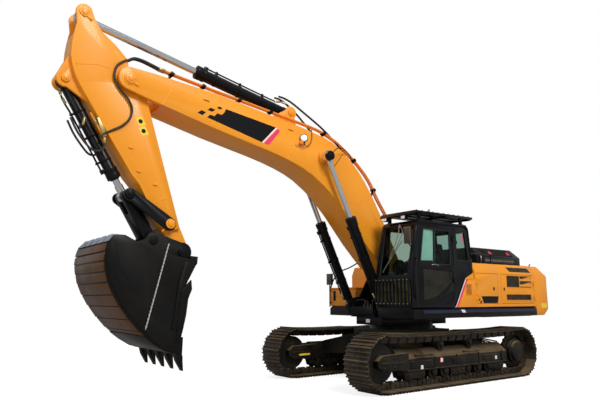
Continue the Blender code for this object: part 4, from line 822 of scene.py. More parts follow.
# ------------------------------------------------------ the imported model's skins
ORANGE_NODES = {
    "counterweight": 0.022,
    "rear_housing": 0.005,
    "left_front_housing": 0.005,
    "left_cheek_panel": 0.004,
    "left_front_door": 0.004,
    "left_rear_door": 0.004,
    "right_rear_door": 0.004,
    "fuel_tank": 0.022,
    "hydraulic_tank": 0.022,
    "toolbox": 0.022,
    "toolbox_lid": 0.01,
    "boom": 0.007,
    "arm": 0.007,
}
DARK_NODES = {
    "main_frame": 0.006,
    "centre_cover": 0.01,
    "roof_hatch": 0.006,
    "engine_hood": 0.014,
    "slewing_ring": 0.004,
    "front_guard": 0.002,
    "left_mirror": 0.003,
    "right_mirror": 0.003,
    "boom_cylinder_barrel_left": 0.003,
    "boom_cylinder_barrel_right": 0.003,
    "arm_cylinder_barrel": 0.003,
    "bucket_cylinder_barrel": 0.003,
    "rocker_plates": 0.006,
    "bucket_link": 0.006,
}
UNDER_NODES = {
    "carbody": 0.01,
    "track_frame_left": 0.006,
    "track_frame_right": 0.006,
    "idler_left": 0.006,
    "idler_right": 0.006,
    "sprocket_left": 0.004,
    "sprocket_right": 0.004,
}
CAB_NODES = {"cab_shell": 0.008, "cab_door": 0.006, "roof_guard": 0.005}
RODS = (
    "boom_cylinder_rod_left",
    "boom_cylinder_rod_right",
    "arm_cylinder_rod",
    "bucket_cylinder_rod",
)
PANES = {
    "windscreen": SCREEN_GLASS,
    "left_rear_window": SIDE_GLASS,
    "right_window": SIDE_GLASS,
    "right_rear_window": SIDE_GLASS,
    "rear_window": SIDE_GLASS,
    "door_window": SIDE_GLASS,
}


def make_skins():
    """Rounded skins for the CAD nodes, and finishes for those that stay."""
    for group, paint in (
        (ORANGE_NODES, ORANGE),
        (DARK_NODES, BLACK),
        (UNDER_NODES, UNDER_BLACK),
        (CAB_NODES, CAB_BLACK),
    ):
        for node, width in group.items():
            soften(node, paint, width)
    soften("bucket", BUCKET_BLACK, 0.004)
    soften("engine_block", STEEL, 0.012)
    soften("control_console", TRIM, 0.012)
    for node in RODS:
        NODES[node].material_slots[0].material = CHROME
    for node, glass in PANES.items():
        NODES[node].material_slots[0].material = glass


# ------------------------------------------------------------------------ boom
BOOM_SIDE = 0.3305          # films and weld seams lie here, just off the side plate
BADGE = [
    (4.909, 0.591), (3.908, 0.916), (4.038, 0.487), (5.136, 0.238),
    (5.11, 0.316), (5.032, 0.34), (5.01, 0.42), (4.93, 0.443), (4.905, 0.52),
]
SQUARES = (
    [(5.319, 0.2), (5.28, 0.286), (5.191, 0.305), (5.226, 0.218)],
    [(5.19, 0.362), (5.159, 0.429), (5.068, 0.452), (5.103, 0.382)],
    [(5.061, 0.5), (5.041, 0.55), (4.97, 0.566), (4.996, 0.512)],
)
WHITE_LINE = [(3.9, 0.919), (3.872, 0.927), (4.002, 0.495), (4.03, 0.489)]
PINK_BAR = [
    (3.862, 0.924), (3.815, 0.916), (3.8, 0.89), (3.884, 0.545), (3.915, 0.518), (3.992, 0.499)
]


def decal(name, outline, finish, face, body, view):
    """A thin coloured film on both sides of a piece."""
    film = Part(view)
    for side in (-1, 1):
        film.plate(outline, side * face, side * (face + SKIN))
    film.done(name, finish, body)


def leaning(x, z, turn, outline):
    """An outline turned about its own middle and moved to a place."""
    c, s = math.cos(turn), math.sin(turn)
    return [(x + u * c - v * s, z + u * s + v * c) for u, v in outline]


def pin_cap(part, x, z, y, side, radius, sides=28):
    """Round cap over a pin's end, with its keeper bolt."""
    part.turned(
        (x, side * y, z),
        (0, side, 0),
        (
            (0.0, radius), (0.01, radius), (0.016, radius * 0.93), (0.016, radius * 0.55),
            (0.026, radius * 0.52)
        ),
        sides,
    )
    for turn in (0.6, 2.7, 4.8):
        spot = (
            x + radius * 0.74 * math.cos(turn), side * (y + 0.014),
            z + radius * 0.74 * math.sin(turn)
        )
        part.turned(spot, (0, side, 0), ((0.0, radius * 0.11), (0.01, radius * 0.1)), 6)


def keeper(part, x, z, y, side, turn):
    """Flat keeper bar beside a pin, held by one bolt."""
    bar = ((0.03, -0.022), (0.155, -0.022), (0.17, 0.0), (0.155, 0.022), (0.03, 0.022))
    part.plate(leaning(x, z, turn, bar), side * y, side * (y + 0.014))
    bolt = (x + 0.135 * math.cos(turn), side * (y + 0.014), z + 0.135 * math.sin(turn))
    part.turned(bolt, (0, side, 0), ((0.0, 0.016), (0.013, 0.015)), 6)


def make_boom_marks():
    """The black shape, its squares and the coloured bars on the boom's sides."""
    decal("boom_badge", BADGE, DECAL_BLACK, BOOM_SIDE, "boom", BOOM)
    squares = Part(BOOM)
    for outline in SQUARES:
        for side in (-1, 1):
            squares.plate(outline, side * BOOM_SIDE, side * (BOOM_SIDE + SKIN))
    squares.done("boom_badge_squares", DECAL_BLACK, "boom")
    decal("boom_badge_line", WHITE_LINE, DECAL_WHITE, BOOM_SIDE, "boom", BOOM)
    decal("boom_badge_bar", PINK_BAR, DECAL_PINK, BOOM_SIDE, "boom", BOOM)


def make_boom_fittings():
    """Pin caps, keepers, clips, lamp and welded edges of the boom."""
    caps = Part(BOOM)
    for side in (-1, 1):
        pin_cap(caps, 6.5, 0.0, 0.342, side, 0.088)
        keeper(caps, 6.5, 0.0, 0.331, side, math.radians(195))
        pin_cap(caps, 3.67, 1.51, 0.162, side, 0.07)
        clip = ((-0.06, -0.006), (0.06, -0.006), (0.05, 0.008), (-0.05, 0.008))
        for x, z in ((5.282, 0.5), (3.608, 1.08)):
            caps.plate(leaning(x, z, -0.32, clip), side * 0.33, side * 0.352)
        caps.turned((1.05, side * 0.329, 0.42), (0, side, 0), ((0.0, 0.018), (0.01, 0.016)), 12)
    caps.done("boom_pin_caps", ORANGE, "boom", 0.002)
    black = Part(BOOM)
    for side in (-1, 1):
        black.turned(
            (2.73, side * 0.532, 1.03), (0, side, 0),
            ((0.0, 0.092), (0.045, 0.092), (0.058, 0.084), (0.058, 0.05), (0.066, 0.046)), 32,
        )
        for index in range(6):
            turn = math.tau * index / 6
            spot = (2.73 + 0.066 * math.cos(turn), side * 0.588, 1.03 + 0.066 * math.sin(turn))
            black.turned(spot, (0, side, 0), ((0.0, 0.01), (0.009, 0.009)), 6)
    black.done("boom_cylinder_pin_caps", BLACK, "boom", 0.002)

    lamp = Part(BOOM)
    lamp.plate([(3.4, 0.86), (3.2, 0.9), (3.24, 0.95), (3.3, 0.97), (3.42, 0.93)], 0.329, 0.338)
    lamp.plate([(3.35, 0.93), (3.28, 0.95), (3.3, 1.04), (3.35, 1.03)], 0.338, 0.4)
    lamp.done("boom_lamp_bracket", ORANGE_PIPE, "boom", 0.003)
    face = (0.55, 0.6, -0.3)
    Part(BOOM).turned(
        (3.302, 0.385, 1.08), face,
        ((-0.045, 0.03), (-0.03, 0.062), (0.03, 0.074), (0.042, 0.076), (0.042, 0.066)), 28
    ).done("boom_lamp_shell", BLACK, "boom", 0.0, 40)
    Part(BOOM).turned(
        (3.302, 0.385, 1.08), face, ((0.03, 0.066), (0.046, 0.064), (0.054, 0.04)), 28
    ).done("boom_lamp_lens", LENS, "boom", 0.0, 60)
    cable = Part(BOOM)
    cable.hose(
        [
            (3.29, 0.4, 1.02), (3.2, 0.37, 0.97), (3.12, 0.345, 1.08), (3.13, 0.338, 1.22),
            (3.18, 0.338, 1.33), (3.2, 0.3, 1.405)
        ],
        0.007, 6
    )
    for side in (-1, 1):
        cable.hose(
            [
                (2.73, side * 0.6, 1.09), (2.66, side * 0.58, 1.24), (2.48, side * 0.46, 1.4),
                (2.22, side * 0.36, 1.46), (2.06, side * 0.3, 1.42)
            ],
            0.009, 6
        )
        cable.hose(
            [
                (2.79, side * 0.585, 1.0), (2.6, side * 0.5, 0.93), (2.44, side * 0.36, 1.02),
                (2.38, side * 0.337, 1.2), (2.34, side * 0.335, 1.38)
            ],
            0.006, 6
        )
    cable.done("boom_cables", HOSE, "boom")

    welds = Part(BOOM)
    for side in (-1, 1):
        y, lug = side * BOOM_SIDE, side * 0.185
        welds.pipe([(5.86, y, 0.452), (5.88, y, -0.05)], 0.0045, 6)
        welds.pipe([(1.35, y, 1.0), (1.8, y, 0.36)], 0.0045, 6)
        welds.pipe([(3.52, y, 1.23), (3.42, y, 0.53)], 0.004, 6)
        welds.pipe([(4.1, lug, 1.02), (3.67, lug, 1.165), (3.38, lug, 1.27)], 0.008, 6)
    welds.done("boom_welds", ORANGE, "boom")


def make_boom_lines():
    """Steel pipes along the boom's back, their clamps, and the hoses between."""
    for name, side in reversed(SIDES):
        pipes = Part(BOOM)
        for lane in (0.262, 0.205):
            y = side * lane
            pipes.hose(
                [
                    (0.62, y, 0.86), (1.076, y, 1.1), (1.45, y, 1.33), (1.9, y, 1.475),
                    (2.3, y, 1.545), (2.6, y, 1.565), (3.0, y, 1.52), (3.4, y, 1.4),
                    (4.05, y, 1.185), (4.74, y, 0.955), (5.43, y, 0.725), (5.94, y, 0.56),
                    (6.16, y, 0.49)
                ],
                0.019, 5, 10
            )
        pipes.done(f"boom_pipes_{name}", ORANGE_PIPE, "boom", 0.0, 60)
        clamps = Part(BOOM)
        clamp_places = (
            (1.25, 1.225, 0.98), (1.98, 1.495, 1.36), (2.88, 1.54, 1.41), (4.1, 1.168, 1.05),
            (4.74, 0.955, 0.84), (5.42, 0.728, 0.6), (5.98, 0.548, 0.4),
        )
        for x, z, foot in clamp_places:
            clamps.block(x - 0.035, x + 0.035, side * 0.178, side * 0.29, z - 0.03, z + 0.026)
            clamps.block(x - 0.022, x + 0.022, side * 0.22, side * 0.245, foot, z - 0.01)
            clamps.turned((x, side * 0.233, z + 0.02), (0, 0, 1), ((0.0, 0.011), (0.018, 0.011)), 6)
        clamps.done(f"boom_clamps_{name}", BLACK, "boom", 0.004)
        ends = Part(BOOM)
        for lane in (0.262, 0.205):
            ends.rod((6.1, side * lane, 0.51), (6.2, side * lane, 0.478), 0.028, 6)
            ends.rod((0.7, side * lane, 0.9), (0.6, side * lane, 0.845), 0.028, 6)
        ends.done(f"boom_pipe_ends_{name}", BRASS, "boom", 0.002)

    hoses = Part(BOOM)
    brass = Part(BOOM)
    for y, lift in ((0.105, 0.0), (-0.06, 0.03)):
        hoses.hose(
            [
                (4.02, y, 1.655 + lift), (3.9, y, 1.7 + lift), (3.72, y * 1.2, 1.715 + lift),
                (3.4, y * 1.5, 1.69 + lift), (2.98, y * 2.0, 1.64), (2.62, y * 2.0, 1.59),
                (2.3, y * 2.0, 1.51), (2.16, y * 1.6, 1.44)
            ],
            0.02, 6, 10
        )
        brass.rod((2.2, y * 1.7, 1.47), (2.1, y * 1.6, 1.415), 0.027, 6)
        brass.turned((2.1, y * 1.6, 1.4), (0, 0, 1), ((-0.03, 0.035), (0.03, 0.035)), 6)
    hoses.done("arm_cylinder_hoses", HOSE, "boom", 0.0, 60)
    brass.done("boom_hose_fittings", STEEL, "boom", 0.002)

    tip = Part(BOOM)
    for y in (0.262, 0.205, -0.262, -0.205):
        tip.hose(
            [
                (6.2, y, 0.478), (6.34, y, 0.452), (6.48, y * 0.96, 0.425), (6.6, y * 0.92, 0.375),
                (6.66, y * 0.9, 0.285)
            ],
            0.021, 6, 10
        )
    tip.done("boom_tip_hoses", HOSE, "boom", 0.0, 60)


def make_cylinder_details():
    """Glands, clamps and side pipes of the four cylinders."""
    jobs = [
        ("arm_cylinder_barrel", ARM_CYLINDER, 1.985, 0.105, 0.06, 1),
        ("bucket_cylinder_barrel", BUCKET_CYLINDER, 1.64, 0.09, 0.052, 1),
    ]
    for name, _ in SIDES:
        view = joint_view(f"boom_cylinder_pivot_{name}", f"boom_cylinder_stroke_{name}")
        jobs.append((f"boom_cylinder_barrel_{name}", view, 1.87, 0.092, 0.052, -1))
    for body, view, gland, radius, rod, up in jobs:
        head = Part(view)
        head.turned(
            (gland - 0.17, 0.0, 0.0), (1, 0, 0),
            (
                (0.0, radius + 0.016), (0.05, radius + 0.016), (0.052, radius + 0.004),
                (0.085, radius + 0.004), (0.087, radius + 0.018), (0.172, radius + 0.018),
                (0.178, radius + 0.01), (0.18, rod + 0.02), (0.196, rod + 0.016),
                (0.196, rod + 0.001)
            ),
            32,
        )
        reach = radius + 0.004
        for index in range(10):
            turn = math.tau * index / 10
            spot = (gland - 0.124, reach * math.cos(turn), reach * math.sin(turn))
            head.turned(spot, (1, 0, 0), ((0.0, 0.011), (0.04, 0.011)), 6)
        head.done(f"{body}_gland", BLACK, body, 0.003)
        line = Part(view)
        z = up * (radius + 0.045)
        line.block(
            gland - 0.2, gland - 0.13, -0.03, 0.03, up * (radius - 0.01), up * (radius + 0.062)
        )
        line.hose(
            [
                (gland - 0.15, 0.0, z), (gland - 0.24, 0.0, z), (gland - 0.6, 0.0, z),
                (0.5, 0.0, z), (0.32, 0.0, z + up * 0.01), (0.2, 0.05, z + up * 0.02)
            ],
            0.015, 5, 10
        )
        for share in (0.3, 0.55, 0.8):
            x = gland * share
            line.turned(
                (x, 0.0, 0.0), (1, 0, 0), ((0.0, radius + 0.007), (0.034, radius + 0.007)), 32
            )
            line.block(x, x + 0.034, -0.024, 0.024, up * radius, up * (radius + 0.068))
        line.turned(
            (0.06, 0.0, 0.0), (1, 0, 0),
            ((0.0, radius * 0.75), (0.03, radius + 0.006), (0.07, radius + 0.006), (0.074, radius)),
            32
        )
        line.done(f"{body}_pipe", BLACK, body, 0.002)
        ends = Part(view)
        ends.rod((0.33, 0.0, z), (0.24, 0.03, z + up * 0.015), 0.023, 6)
        ends.rod((0.19, 0.055, z + up * 0.02), (0.1, 0.09, z + up * 0.01), 0.021, 6)
        ends.done(f"{body}_fittings", BRASS, body, 0.002)


# ------------------------------------------------------------------- arm, links
def make_arm_details():
    """Pin caps, stickers, clips, pipes and hoses of the arm."""
    caps = Part(ARM)
    for side in (-1, 1):
        pin_cap(caps, -1.13, 0.35, 0.226, side, 0.082)
        keeper(caps, -1.13, 0.35, 0.225, side, math.radians(-25))
        pin_cap(caps, -0.18, 0.91, 0.158, side, 0.066)
        pin_cap(caps, 2.36, 0.08, 0.306, side, 0.08)
        keeper(caps, 2.36, 0.08, 0.2255, side, math.radians(60))
        clip = ((-0.035, -0.007), (0.035, -0.007), (0.035, 0.007), (-0.035, 0.007))
        for x, z, turn in ((1.437, 0.29, 2.2), (1.7, 0.1, 2.0), (1.05, 0.3, 2.2)):
            caps.plate(leaning(x, z, turn, clip), side * 0.224, side * 0.245)
    caps.done("arm_pin_caps", ORANGE, "arm", 0.002)
    stickers = Part(ARM)
    for side in (-1, 1):
        for low, high in ((0.6, 0.745), (0.76, 0.905)):
            stickers.plate(
                [(low, 0.085), (high, 0.055), (high, -0.06), (low, -0.03)], side * 0.2254,
                side * 0.2264
            )
    stickers.done("arm_stickers", DECAL_YELLOW, "arm")
    marks = Part(ARM)
    for side in (-1, 1):
        for low in (0.6, 0.76):
            marks.plate(arc((low + 0.072, 0.013), 0.036, 0, 330, 11), side * 0.2264, side * 0.2268)
    marks.done("arm_sticker_marks", DECAL_BLACK, "arm")
    welds = Part(ARM)
    for side in (-1, 1):
        y = side * 0.2255
        welds.pipe([(1.98, y, 0.3), (1.95, y, -0.125)], 0.004, 6)
        welds.pipe([(-0.35, y, 0.74), (-0.3, y, 0.4), (-0.22, y, 0.24)], 0.004, 6)
        welds.pipe([(0.02, side * 0.149, 0.755), (-0.62, side * 0.149, 0.7)], 0.007, 6)
    welds.done("arm_welds", ORANGE, "arm")
    pipes = Part(ARM)
    for side in (-1, 1):
        y = side * 0.19
        pipes.hose(
            [(0.4, y, 0.73), (0.52, y, 0.705), (0.7, y, 0.668), (0.82, y, 0.64)], 0.018, 5, 10
        )
    pipes.done("arm_pipes", ORANGE_PIPE, "arm", 0.0, 60)
    brass = Part(ARM)
    for side in (-1, 1):
        y = side * 0.19
        brass.rod((0.52, y, 0.706), (0.6, y, 0.69), 0.026, 6)
        brass.rod((0.82, y, 0.642), (0.9, y, 0.66), 0.026, 6)
        brass.rod((0.44, y - side * 0.1, 0.8), (0.55, y - side * 0.09, 0.86), 0.024, 6)
        brass.block(0.5, 0.8, y - side * 0.03, y + side * 0.03, 0.6, 0.665)
    brass.done("arm_fittings", BRASS, "arm", 0.003)
    hoses = Part(ARM)
    for side in (-1, 1):
        hoses.hose(
            [
                (0.9, side * 0.19, 0.66), (0.985, side * 0.18, 0.72), (0.96, side * 0.13, 0.83),
                (0.84, side * 0.1, 0.9), (0.62, side * 0.09, 0.97), (0.4, side * 0.09, 1.0)
            ],
            0.017, 6, 10
        )
    hoses.done("arm_hoses", HOSE, "arm", 0.0, 60)
    # the hose that swings over the joint keeps to the arm and ends at the boom's tip
    bend = Part(ARM)
    for side in (-1, 1):
        y = side * 0.245
        bend.hose(
            [
                (-0.315, y * 0.93, -0.115), (-0.305, y, -0.02), (-0.235, y * 1.05, 0.13),
                (-0.06, y * 1.06, 0.225), (0.12, y * 1.06, 0.195), (0.3, y * 1.06, 0.115),
                (0.46, y * 1.05, 0.1), (0.6, y * 1.04, 0.18), (0.69, y * 1.02, 0.33),
                (0.73, y * 0.98, 0.5), (0.76, y * 0.86, 0.64), (0.8, y * 0.78, 0.69)
            ],
            0.018, 6, 10
        )
    bend.done("arm_joint_hoses", HOSE, "arm", 0.0, 60)


def make_link_details():
    """Collars on the rocker and the link pins."""
    caps = Part(ARM)
    for side in (-1, 1):
        pin_cap(caps, 1.74, 0.55, 0.298, side, 0.074)
    caps.done("rocker_caps", BLACK, "rocker", 0.002)
    link = Part(ARM)
    link.block(2.02, 2.34, -0.125, 0.125, 0.5, 0.515)
    link.turned((1.9, 0.0, 0.615), (0.3, 0, 1), ((0.0, 0.012), (0.02, 0.01)), 8)
    link.done("link_plate", BLACK, "bucket_link", 0.004)


# ---------------------------------------------------------------------- bucket
HEEL = [
    (1.5, 0.3), (1.4, 0.495), (1.25, 0.73), (1.1, 0.9), (0.93, 1.06), (0.78, 1.175),
    (0.62, 1.27), (0.48, 1.32), (0.34, 1.36), (0.21, 1.365), (0.08, 1.35), (-0.05, 1.26),
]


def make_bucket_details():
    """Wear strips on the heel, side plates, cutters, adapters, teeth and chain."""
    strips = Part(BUCKET)
    for index, ((x0, z0), (x1, z1)) in enumerate(zip(HEEL, HEEL[1:])):
        start, end = Vector((x0, z0)), Vector((x1, z1))
        way = (end - start).normalized()
        out = Vector((way.y, -way.x))
        first, last = start + way * 0.01, end - way * 0.01
        strips.plate(
            [
                tuple(first - out * 0.004), tuple(last - out * 0.004), tuple(last + out * 0.01),
                tuple(first + out * 0.016)
            ],
            -0.735, 0.735,
        )
    # the strips' brown-orange tone is partly a painted reflection over dark steel
    strips.done("bucket_wear_strips", WEAR_PLATE_AND_REFLECTION, "bucket", 0.003)
    Part(BUCKET).plate(
        [(1.32, 0.665), (1.305, 0.645), (1.4, 0.48), (1.5, 0.29), (1.52, 0.3), (1.425, 0.5)],
        -0.745, 0.745
    ).done("bucket_lip_cover", BUCKET_BLACK, "bucket", 0.003)
    # painted reflection: pale blue plates along the bucket's top stand in for the sky's glint
    glint_plates = Part(BUCKET)
    for index in range(5):
        y = -0.6 + index * 0.29
        glint_plates.plate([(-0.035, 1.292), (0.06, 1.352), (0.066, 1.366), (-0.048, 1.3)], y, y + 0.23)
    glint_plates.done("bucket_painted_glint_plates", PAINTED_SKY_GLINT, "bucket", 0.002)
    sides = Part(BUCKET)
    for side in (-1, 1):
        low, high = side * 0.749, side * 0.764
        sides.plate(
            [
                (1.49, 0.28), (1.4, 0.48), (1.23, 0.71), (0.92, 1.03), (0.61, 1.24), (0.34, 1.33),
                (0.1, 1.32), (0.02, 1.25), (0.4, 1.13), (0.72, 0.86), (1.02, 0.56), (1.26, 0.3)
            ],
            low, high,
        )
        sides.plate(
            [
                (0.24, 0.0), (0.52, 0.13), (0.98, 0.155), (1.3, 0.185), (1.3, 0.27), (0.98, 0.245),
                (0.5, 0.235), (0.2, 0.16)
            ],
            low, high
        )
        for x, z in ((0.66, 0.185), (0.8, 0.195), (1.06, 0.205), (1.2, 0.22)):
            sides.turned((x, side * 0.763, z), (0, side, 0), ((0.0, 0.018), (0.014, 0.016)), 12)
    sides.done("bucket_side_plates", BUCKET_BLACK, "bucket", 0.004)
    cutters = Part(BUCKET)
    for side in (-1, 1):
        cutters.plate(
            [
                (0.46, 0.04), (0.6, 0.012), (0.74, 0.055), (0.98, 0.06), (1.2, 0.085), (1.36, 0.11),
                (1.4, 0.18), (0.98, 0.185), (0.62, 0.17)
            ],
            side * 0.735, side * 0.772
        )
    cutters.done("bucket_side_cutters", BUCKET_BLACK, "bucket", 0.004)
    adapters = Part(BUCKET)
    for index in range(5):
        y = (index / 4 - 0.5) * 1.36
        adapters.tapered(
            (1.3, y - 0.072, y + 0.072, 0.06, 0.215), (1.46, y - 0.07, y + 0.07, 0.05, 0.19),
            (1.575, y - 0.056, y + 0.056, 0.036, 0.13)
        )
        adapters.turned((1.535, y - 0.075, 0.09), (0, 1, 0), ((0.0, 0.016), (0.15, 0.016)), 10)
    adapters.block(1.2, 1.5, -0.745, 0.745, 0.1, 0.15)
    adapters.done("bucket_adapters", BUCKET_BLACK, "bucket", 0.006)
    teeth = Part(BUCKET)
    for index in range(5):
        y = (index / 4 - 0.5) * 1.36
        teeth.tapered(
            (1.56, y - 0.06, y + 0.06, 0.03, 0.138), (1.64, y - 0.056, y + 0.056, 0.018, 0.108),
            (1.778, y - 0.046, y + 0.046, -0.012, 0.008)
        )
    teeth.done("bucket_teeth", BUCKET_BLACK, "bucket", 0.004)
    caps = Part(BUCKET)
    for side in (-1, 1):
        pin_cap(caps, 0.0, 0.0, 0.26, side, 0.078)
        pin_cap(caps, -0.12, 0.5, 0.245, side, 0.074)
    caps.done("bucket_pin_caps", BLACK, "bucket", 0.002)
    ribs = Part(BUCKET)
    ribs.plate([(0.13, 0.2), (0.03, 0.95), (-0.055, 1.1), (-0.055, 1.13), (0.1, 0.95)], -0.19, 0.19)
    ribs.block(0.1, 0.22, -0.745, 0.745, -0.04, 0.075)
    ribs.done("bucket_ribs", BUCKET_BLACK, "bucket", 0.008)
    chain = Part(BUCKET)
    start, end = Vector((-0.02, 0.78, 0.47)), Vector((1.22, 0.78, 0.66))
    count = 46
    for index in range(count):
        centre = start.lerp(end, (index + 0.5) / count)
        way = (end - start).normalized()
        flat = Vector((0, 1, 0)) if index % 2 else way.cross(Vector((0, 1, 0)))
        ring = [
            centre + way * (0.018 * math.cos(a)) + flat * (0.008 * math.sin(a))
            for a in [math.tau * s / 10 for s in range(11)]
        ]
        chain.pipe(ring, 0.0035, 5)
    chain.done("bucket_chain", CHAIN, "bucket", 0.0, 60)


# ------------------------------------------------------------------------- cab
CAB_SIDE = 1.49
SWELL = 0.012
SCREEN_LOW, SCREEN_HIGH = (1.225, 2.02), (1.03, 2.99)


def on_screen(y, z, out=0.012):
    """A point just outside the windscreen."""
    share = (z - SCREEN_LOW[1]) / (SCREEN_HIGH[1] - SCREEN_LOW[1])
    return (SCREEN_LOW[0] + (SCREEN_HIGH[0] - SCREEN_LOW[0]) * share + out, y, z)


def frame_ring(part, outline, inset, y0, y1):
    """A flat rim of even width round an (x, z) outline."""
    middle = Vector(
        (sum(p[0] for p in outline) / len(outline), sum(p[1] for p in outline) / len(outline))
    )
    inner = [Vector(p) + (middle - Vector(p)).normalized() * inset for p in outline]
    count = len(outline)
    for index in range(count):
        after = (index + 1) % count
        part.plate(
            [outline[index], outline[after], tuple(inner[after]), tuple(inner[index])], y0, y1
        )


def make_cab_outside():
    """Seals, wiper, lamps, rails, gutter, mirrors and guard bolts of the cab."""
    seals = Part()
    door_glass = [(1.01, 2.3), (0.9, 2.93), (0.12, 2.93), (0.12, 2.26), (0.56, 2.23), (0.7, 2.3)]
    frame_ring(seals, door_glass, 0.026, 1.474, 1.4925)
    seals.plate([(0.615, 2.245), (0.572, 2.245), (0.54, 2.925), (0.583, 2.925)], 1.462, 1.484)
    seals.done("door_window_seal", RUBBER, "cab_door")
    Part().plate(
        [(0.985, 2.3), (0.885, 2.915), (0.59, 2.915), (0.625, 2.262), (0.702, 2.312)], 1.463, 1.4655
    ).done("door_sliding_pane", MINT_GLASS, "cab_door")
    seals = Part()
    frame_ring(
        seals, [(-0.06, 2.34), (-0.06, 2.93), (-0.35, 2.93), (-0.44, 2.34)], 0.024, 1.474, 1.4925
    )
    for y in (0.655, 1.415):
        seals.rod(on_screen(y, 2.03), on_screen(y, 2.98), 0.012, 8)
    for z in (2.03, 2.98):
        seals.rod(on_screen(0.655, z), on_screen(1.415, z), 0.012, 8)
    seals.done("cab_window_seals", RUBBER, "upperstructure")
    strip = Part()
    strip.plate([(-0.322, 2.64), (-0.335, 2.64), (-0.312, 2.88), (-0.296, 2.88)], 1.466, 1.4675)
    strip.plate([(-0.3, 2.74), (-0.332, 2.71), (-0.318, 2.82), (-0.28, 2.83)], 1.4662, 1.4672)
    strip.done("rear_window_strip", DECAL_PINK, "upperstructure")

    wiper = Part()
    wiper.pipe(
        [
            on_screen(1.02, 2.985, 0.03), on_screen(1.05, 2.88, 0.035), on_screen(0.98, 2.62, 0.03),
            on_screen(0.86, 2.36, 0.022)
        ],
        0.009, 8
    )
    wiper.pipe(
        [
            on_screen(1.1, 2.97, 0.03), on_screen(1.15, 2.84, 0.035), on_screen(1.02, 2.56, 0.03),
            on_screen(0.9, 2.34, 0.022)
        ],
        0.006, 8
    )
    wiper.pipe(
        [on_screen(1.14, 2.7, 0.016), on_screen(0.9, 2.38, 0.016), on_screen(0.72, 2.1, 0.016)],
        0.01, 6
    )
    wiper.turned(on_screen(1.06, 2.985, 0.02), (1, 0, 0.2), ((0.0, 0.032), (0.025, 0.028)), 16)
    wiper.done("windscreen_wiper", STEEL, "upperstructure")

    lamps, lenses = Part(), Part()
    for x, y, z in ((1.1, 0.7, 3.165), (1.1, 1.19, 3.165)):
        lamps.block(x - 0.075, x + 0.012, y - 0.055, y + 0.055, z - 0.055, z + 0.045)
        lamps.block(x - 0.05, x - 0.02, y - 0.02, y + 0.02, z + 0.03, 3.21)
        lenses.block(x + 0.01, x + 0.022, y - 0.046, y + 0.046, z - 0.046, z + 0.036)
    lamps.done("cab_lamps", BLACK, "upperstructure", 0.006)
    lenses.done("cab_lamp_lenses", LENS, "upperstructure", 0.006)

    guard = Part()
    guard.plate([(1.085, 3.206), (1.135, 3.17), (1.15, 3.18), (1.1, 3.255)], 0.6, 1.5)
    for x in [1.05 - 0.155 * i for i in range(11)]:
        for y in (0.605, 1.485):
            guard.turned((x, y, 3.255), (0, 0, 1), ((0.0, 0.014), (0.012, 0.012)), 6)
    for y in (0.8, 1.05, 1.29):
        guard.block(-0.6, 1.06, y - 0.02, y + 0.02, 3.19, 3.206)
    for x in (-0.55, 0.2, 1.0):
        guard.block(x - 0.02, x + 0.02, 0.6, 1.49, 3.18, 3.206)
    for x in (-0.32, 0.92):
        for y in (0.65, 1.41):
            guard.plate(
                [(x - 0.09, 3.075), (x + 0.09, 3.075), (x + 0.05, 3.095), (x - 0.05, 3.095)],
                y - 0.045, y + 0.045
            )
    guard.done("roof_guard_ribs", CAB_BLACK, "upperstructure", 0.003)

    trims = Part()
    trims.pipe(
        [
            (1.02, 1.498, 3.02), (0.95, 1.5, 3.045), (-0.36, 1.5, 3.045), (-0.45, 1.498, 2.98),
            (-0.52, 1.495, 2.4)
        ],
        0.011, 8
    )
    for end, mid in ((1.478, 1.482), (0.6, 0.596)):
        post = [(1.236, end, 1.56), (1.262, mid, 1.95), (1.2, mid, 2.4), (1.07, end, 2.95)]
        trims.pipe(post, 0.018, 10)
    trims.plate(
        [
            (-0.545, 2.02), (-0.3, 1.995), (0.03, 1.46), (0.055, 1.46), (-0.27, 2.012),
            (-0.545, 2.045)
        ],
        1.489, 1.496
    )
    trims.done("cab_trims", CAB_BLACK, "upperstructure", 0.002)
    Part().hose(
        [
            (1.16, 1.475, 1.62), (1.19, 1.525, 1.66), (1.215, 1.535, 1.95), (1.175, 1.535, 2.25),
            (1.14, 1.525, 2.32), (1.135, 1.478, 2.36)
        ],
        0.013, 6, 10
    ).done("cab_grab_rail", CAB_BLACK, "upperstructure", 0.0, 60)

    door = Part()
    low_line = flowing([(1.02, 1.555), (0.74, 1.575), (0.52, 1.64), (0.28, 1.79), (0.075, 1.93)], 6)
    door.pipe([(p.x, 1.492, p.y) for p in low_line], 0.008, 8)
    door.pipe([(1.045, 1.492, 2.19), (0.07, 1.492, 2.15)], 0.006, 8)
    door.hose(
        [(0.13, 1.49, 1.98), (0.13, 1.52, 2.0), (0.13, 1.524, 2.12), (0.13, 1.49, 2.14)], 0.009
    )
    door.done("door_lines", CAB_BLACK, "cab_door", 0.003)
    Part().plate(
        [
            (0.93, 2.15), (0.11, 2.115), (0.11, 1.95), (0.3, 1.805), (0.54, 1.665), (0.76, 1.605),
            (0.93, 1.585)
        ],
        1.4885, 1.4905
    ).done("door_low_pane", DARK_GLASS, "cab_door")
    handle = Part()
    handle.pipe(
        [(0.69, 1.492, 2.236), (0.675, 1.508, 2.24), (0.56, 1.51, 2.244), (0.545, 1.492, 2.246)],
        0.01, 8
    )
    handle.turned((0.512, 1.49, 2.235), (0, 1, 0), ((0.0, 0.016), (0.012, 0.014)), 16)
    handle.done("door_handle", STEEL, "cab_door", 0.0, 60)

    bolts = Part()
    for z in (1.512, 1.948):
        for index in range(9):
            y = 0.645 + index * 0.0995
            bolts.turned((1.328, y, z), (1, 0, 0), ((0.0, 0.013), (0.012, 0.011)), 6)
    bolts.done("front_guard_bolts", STEEL, "upperstructure")
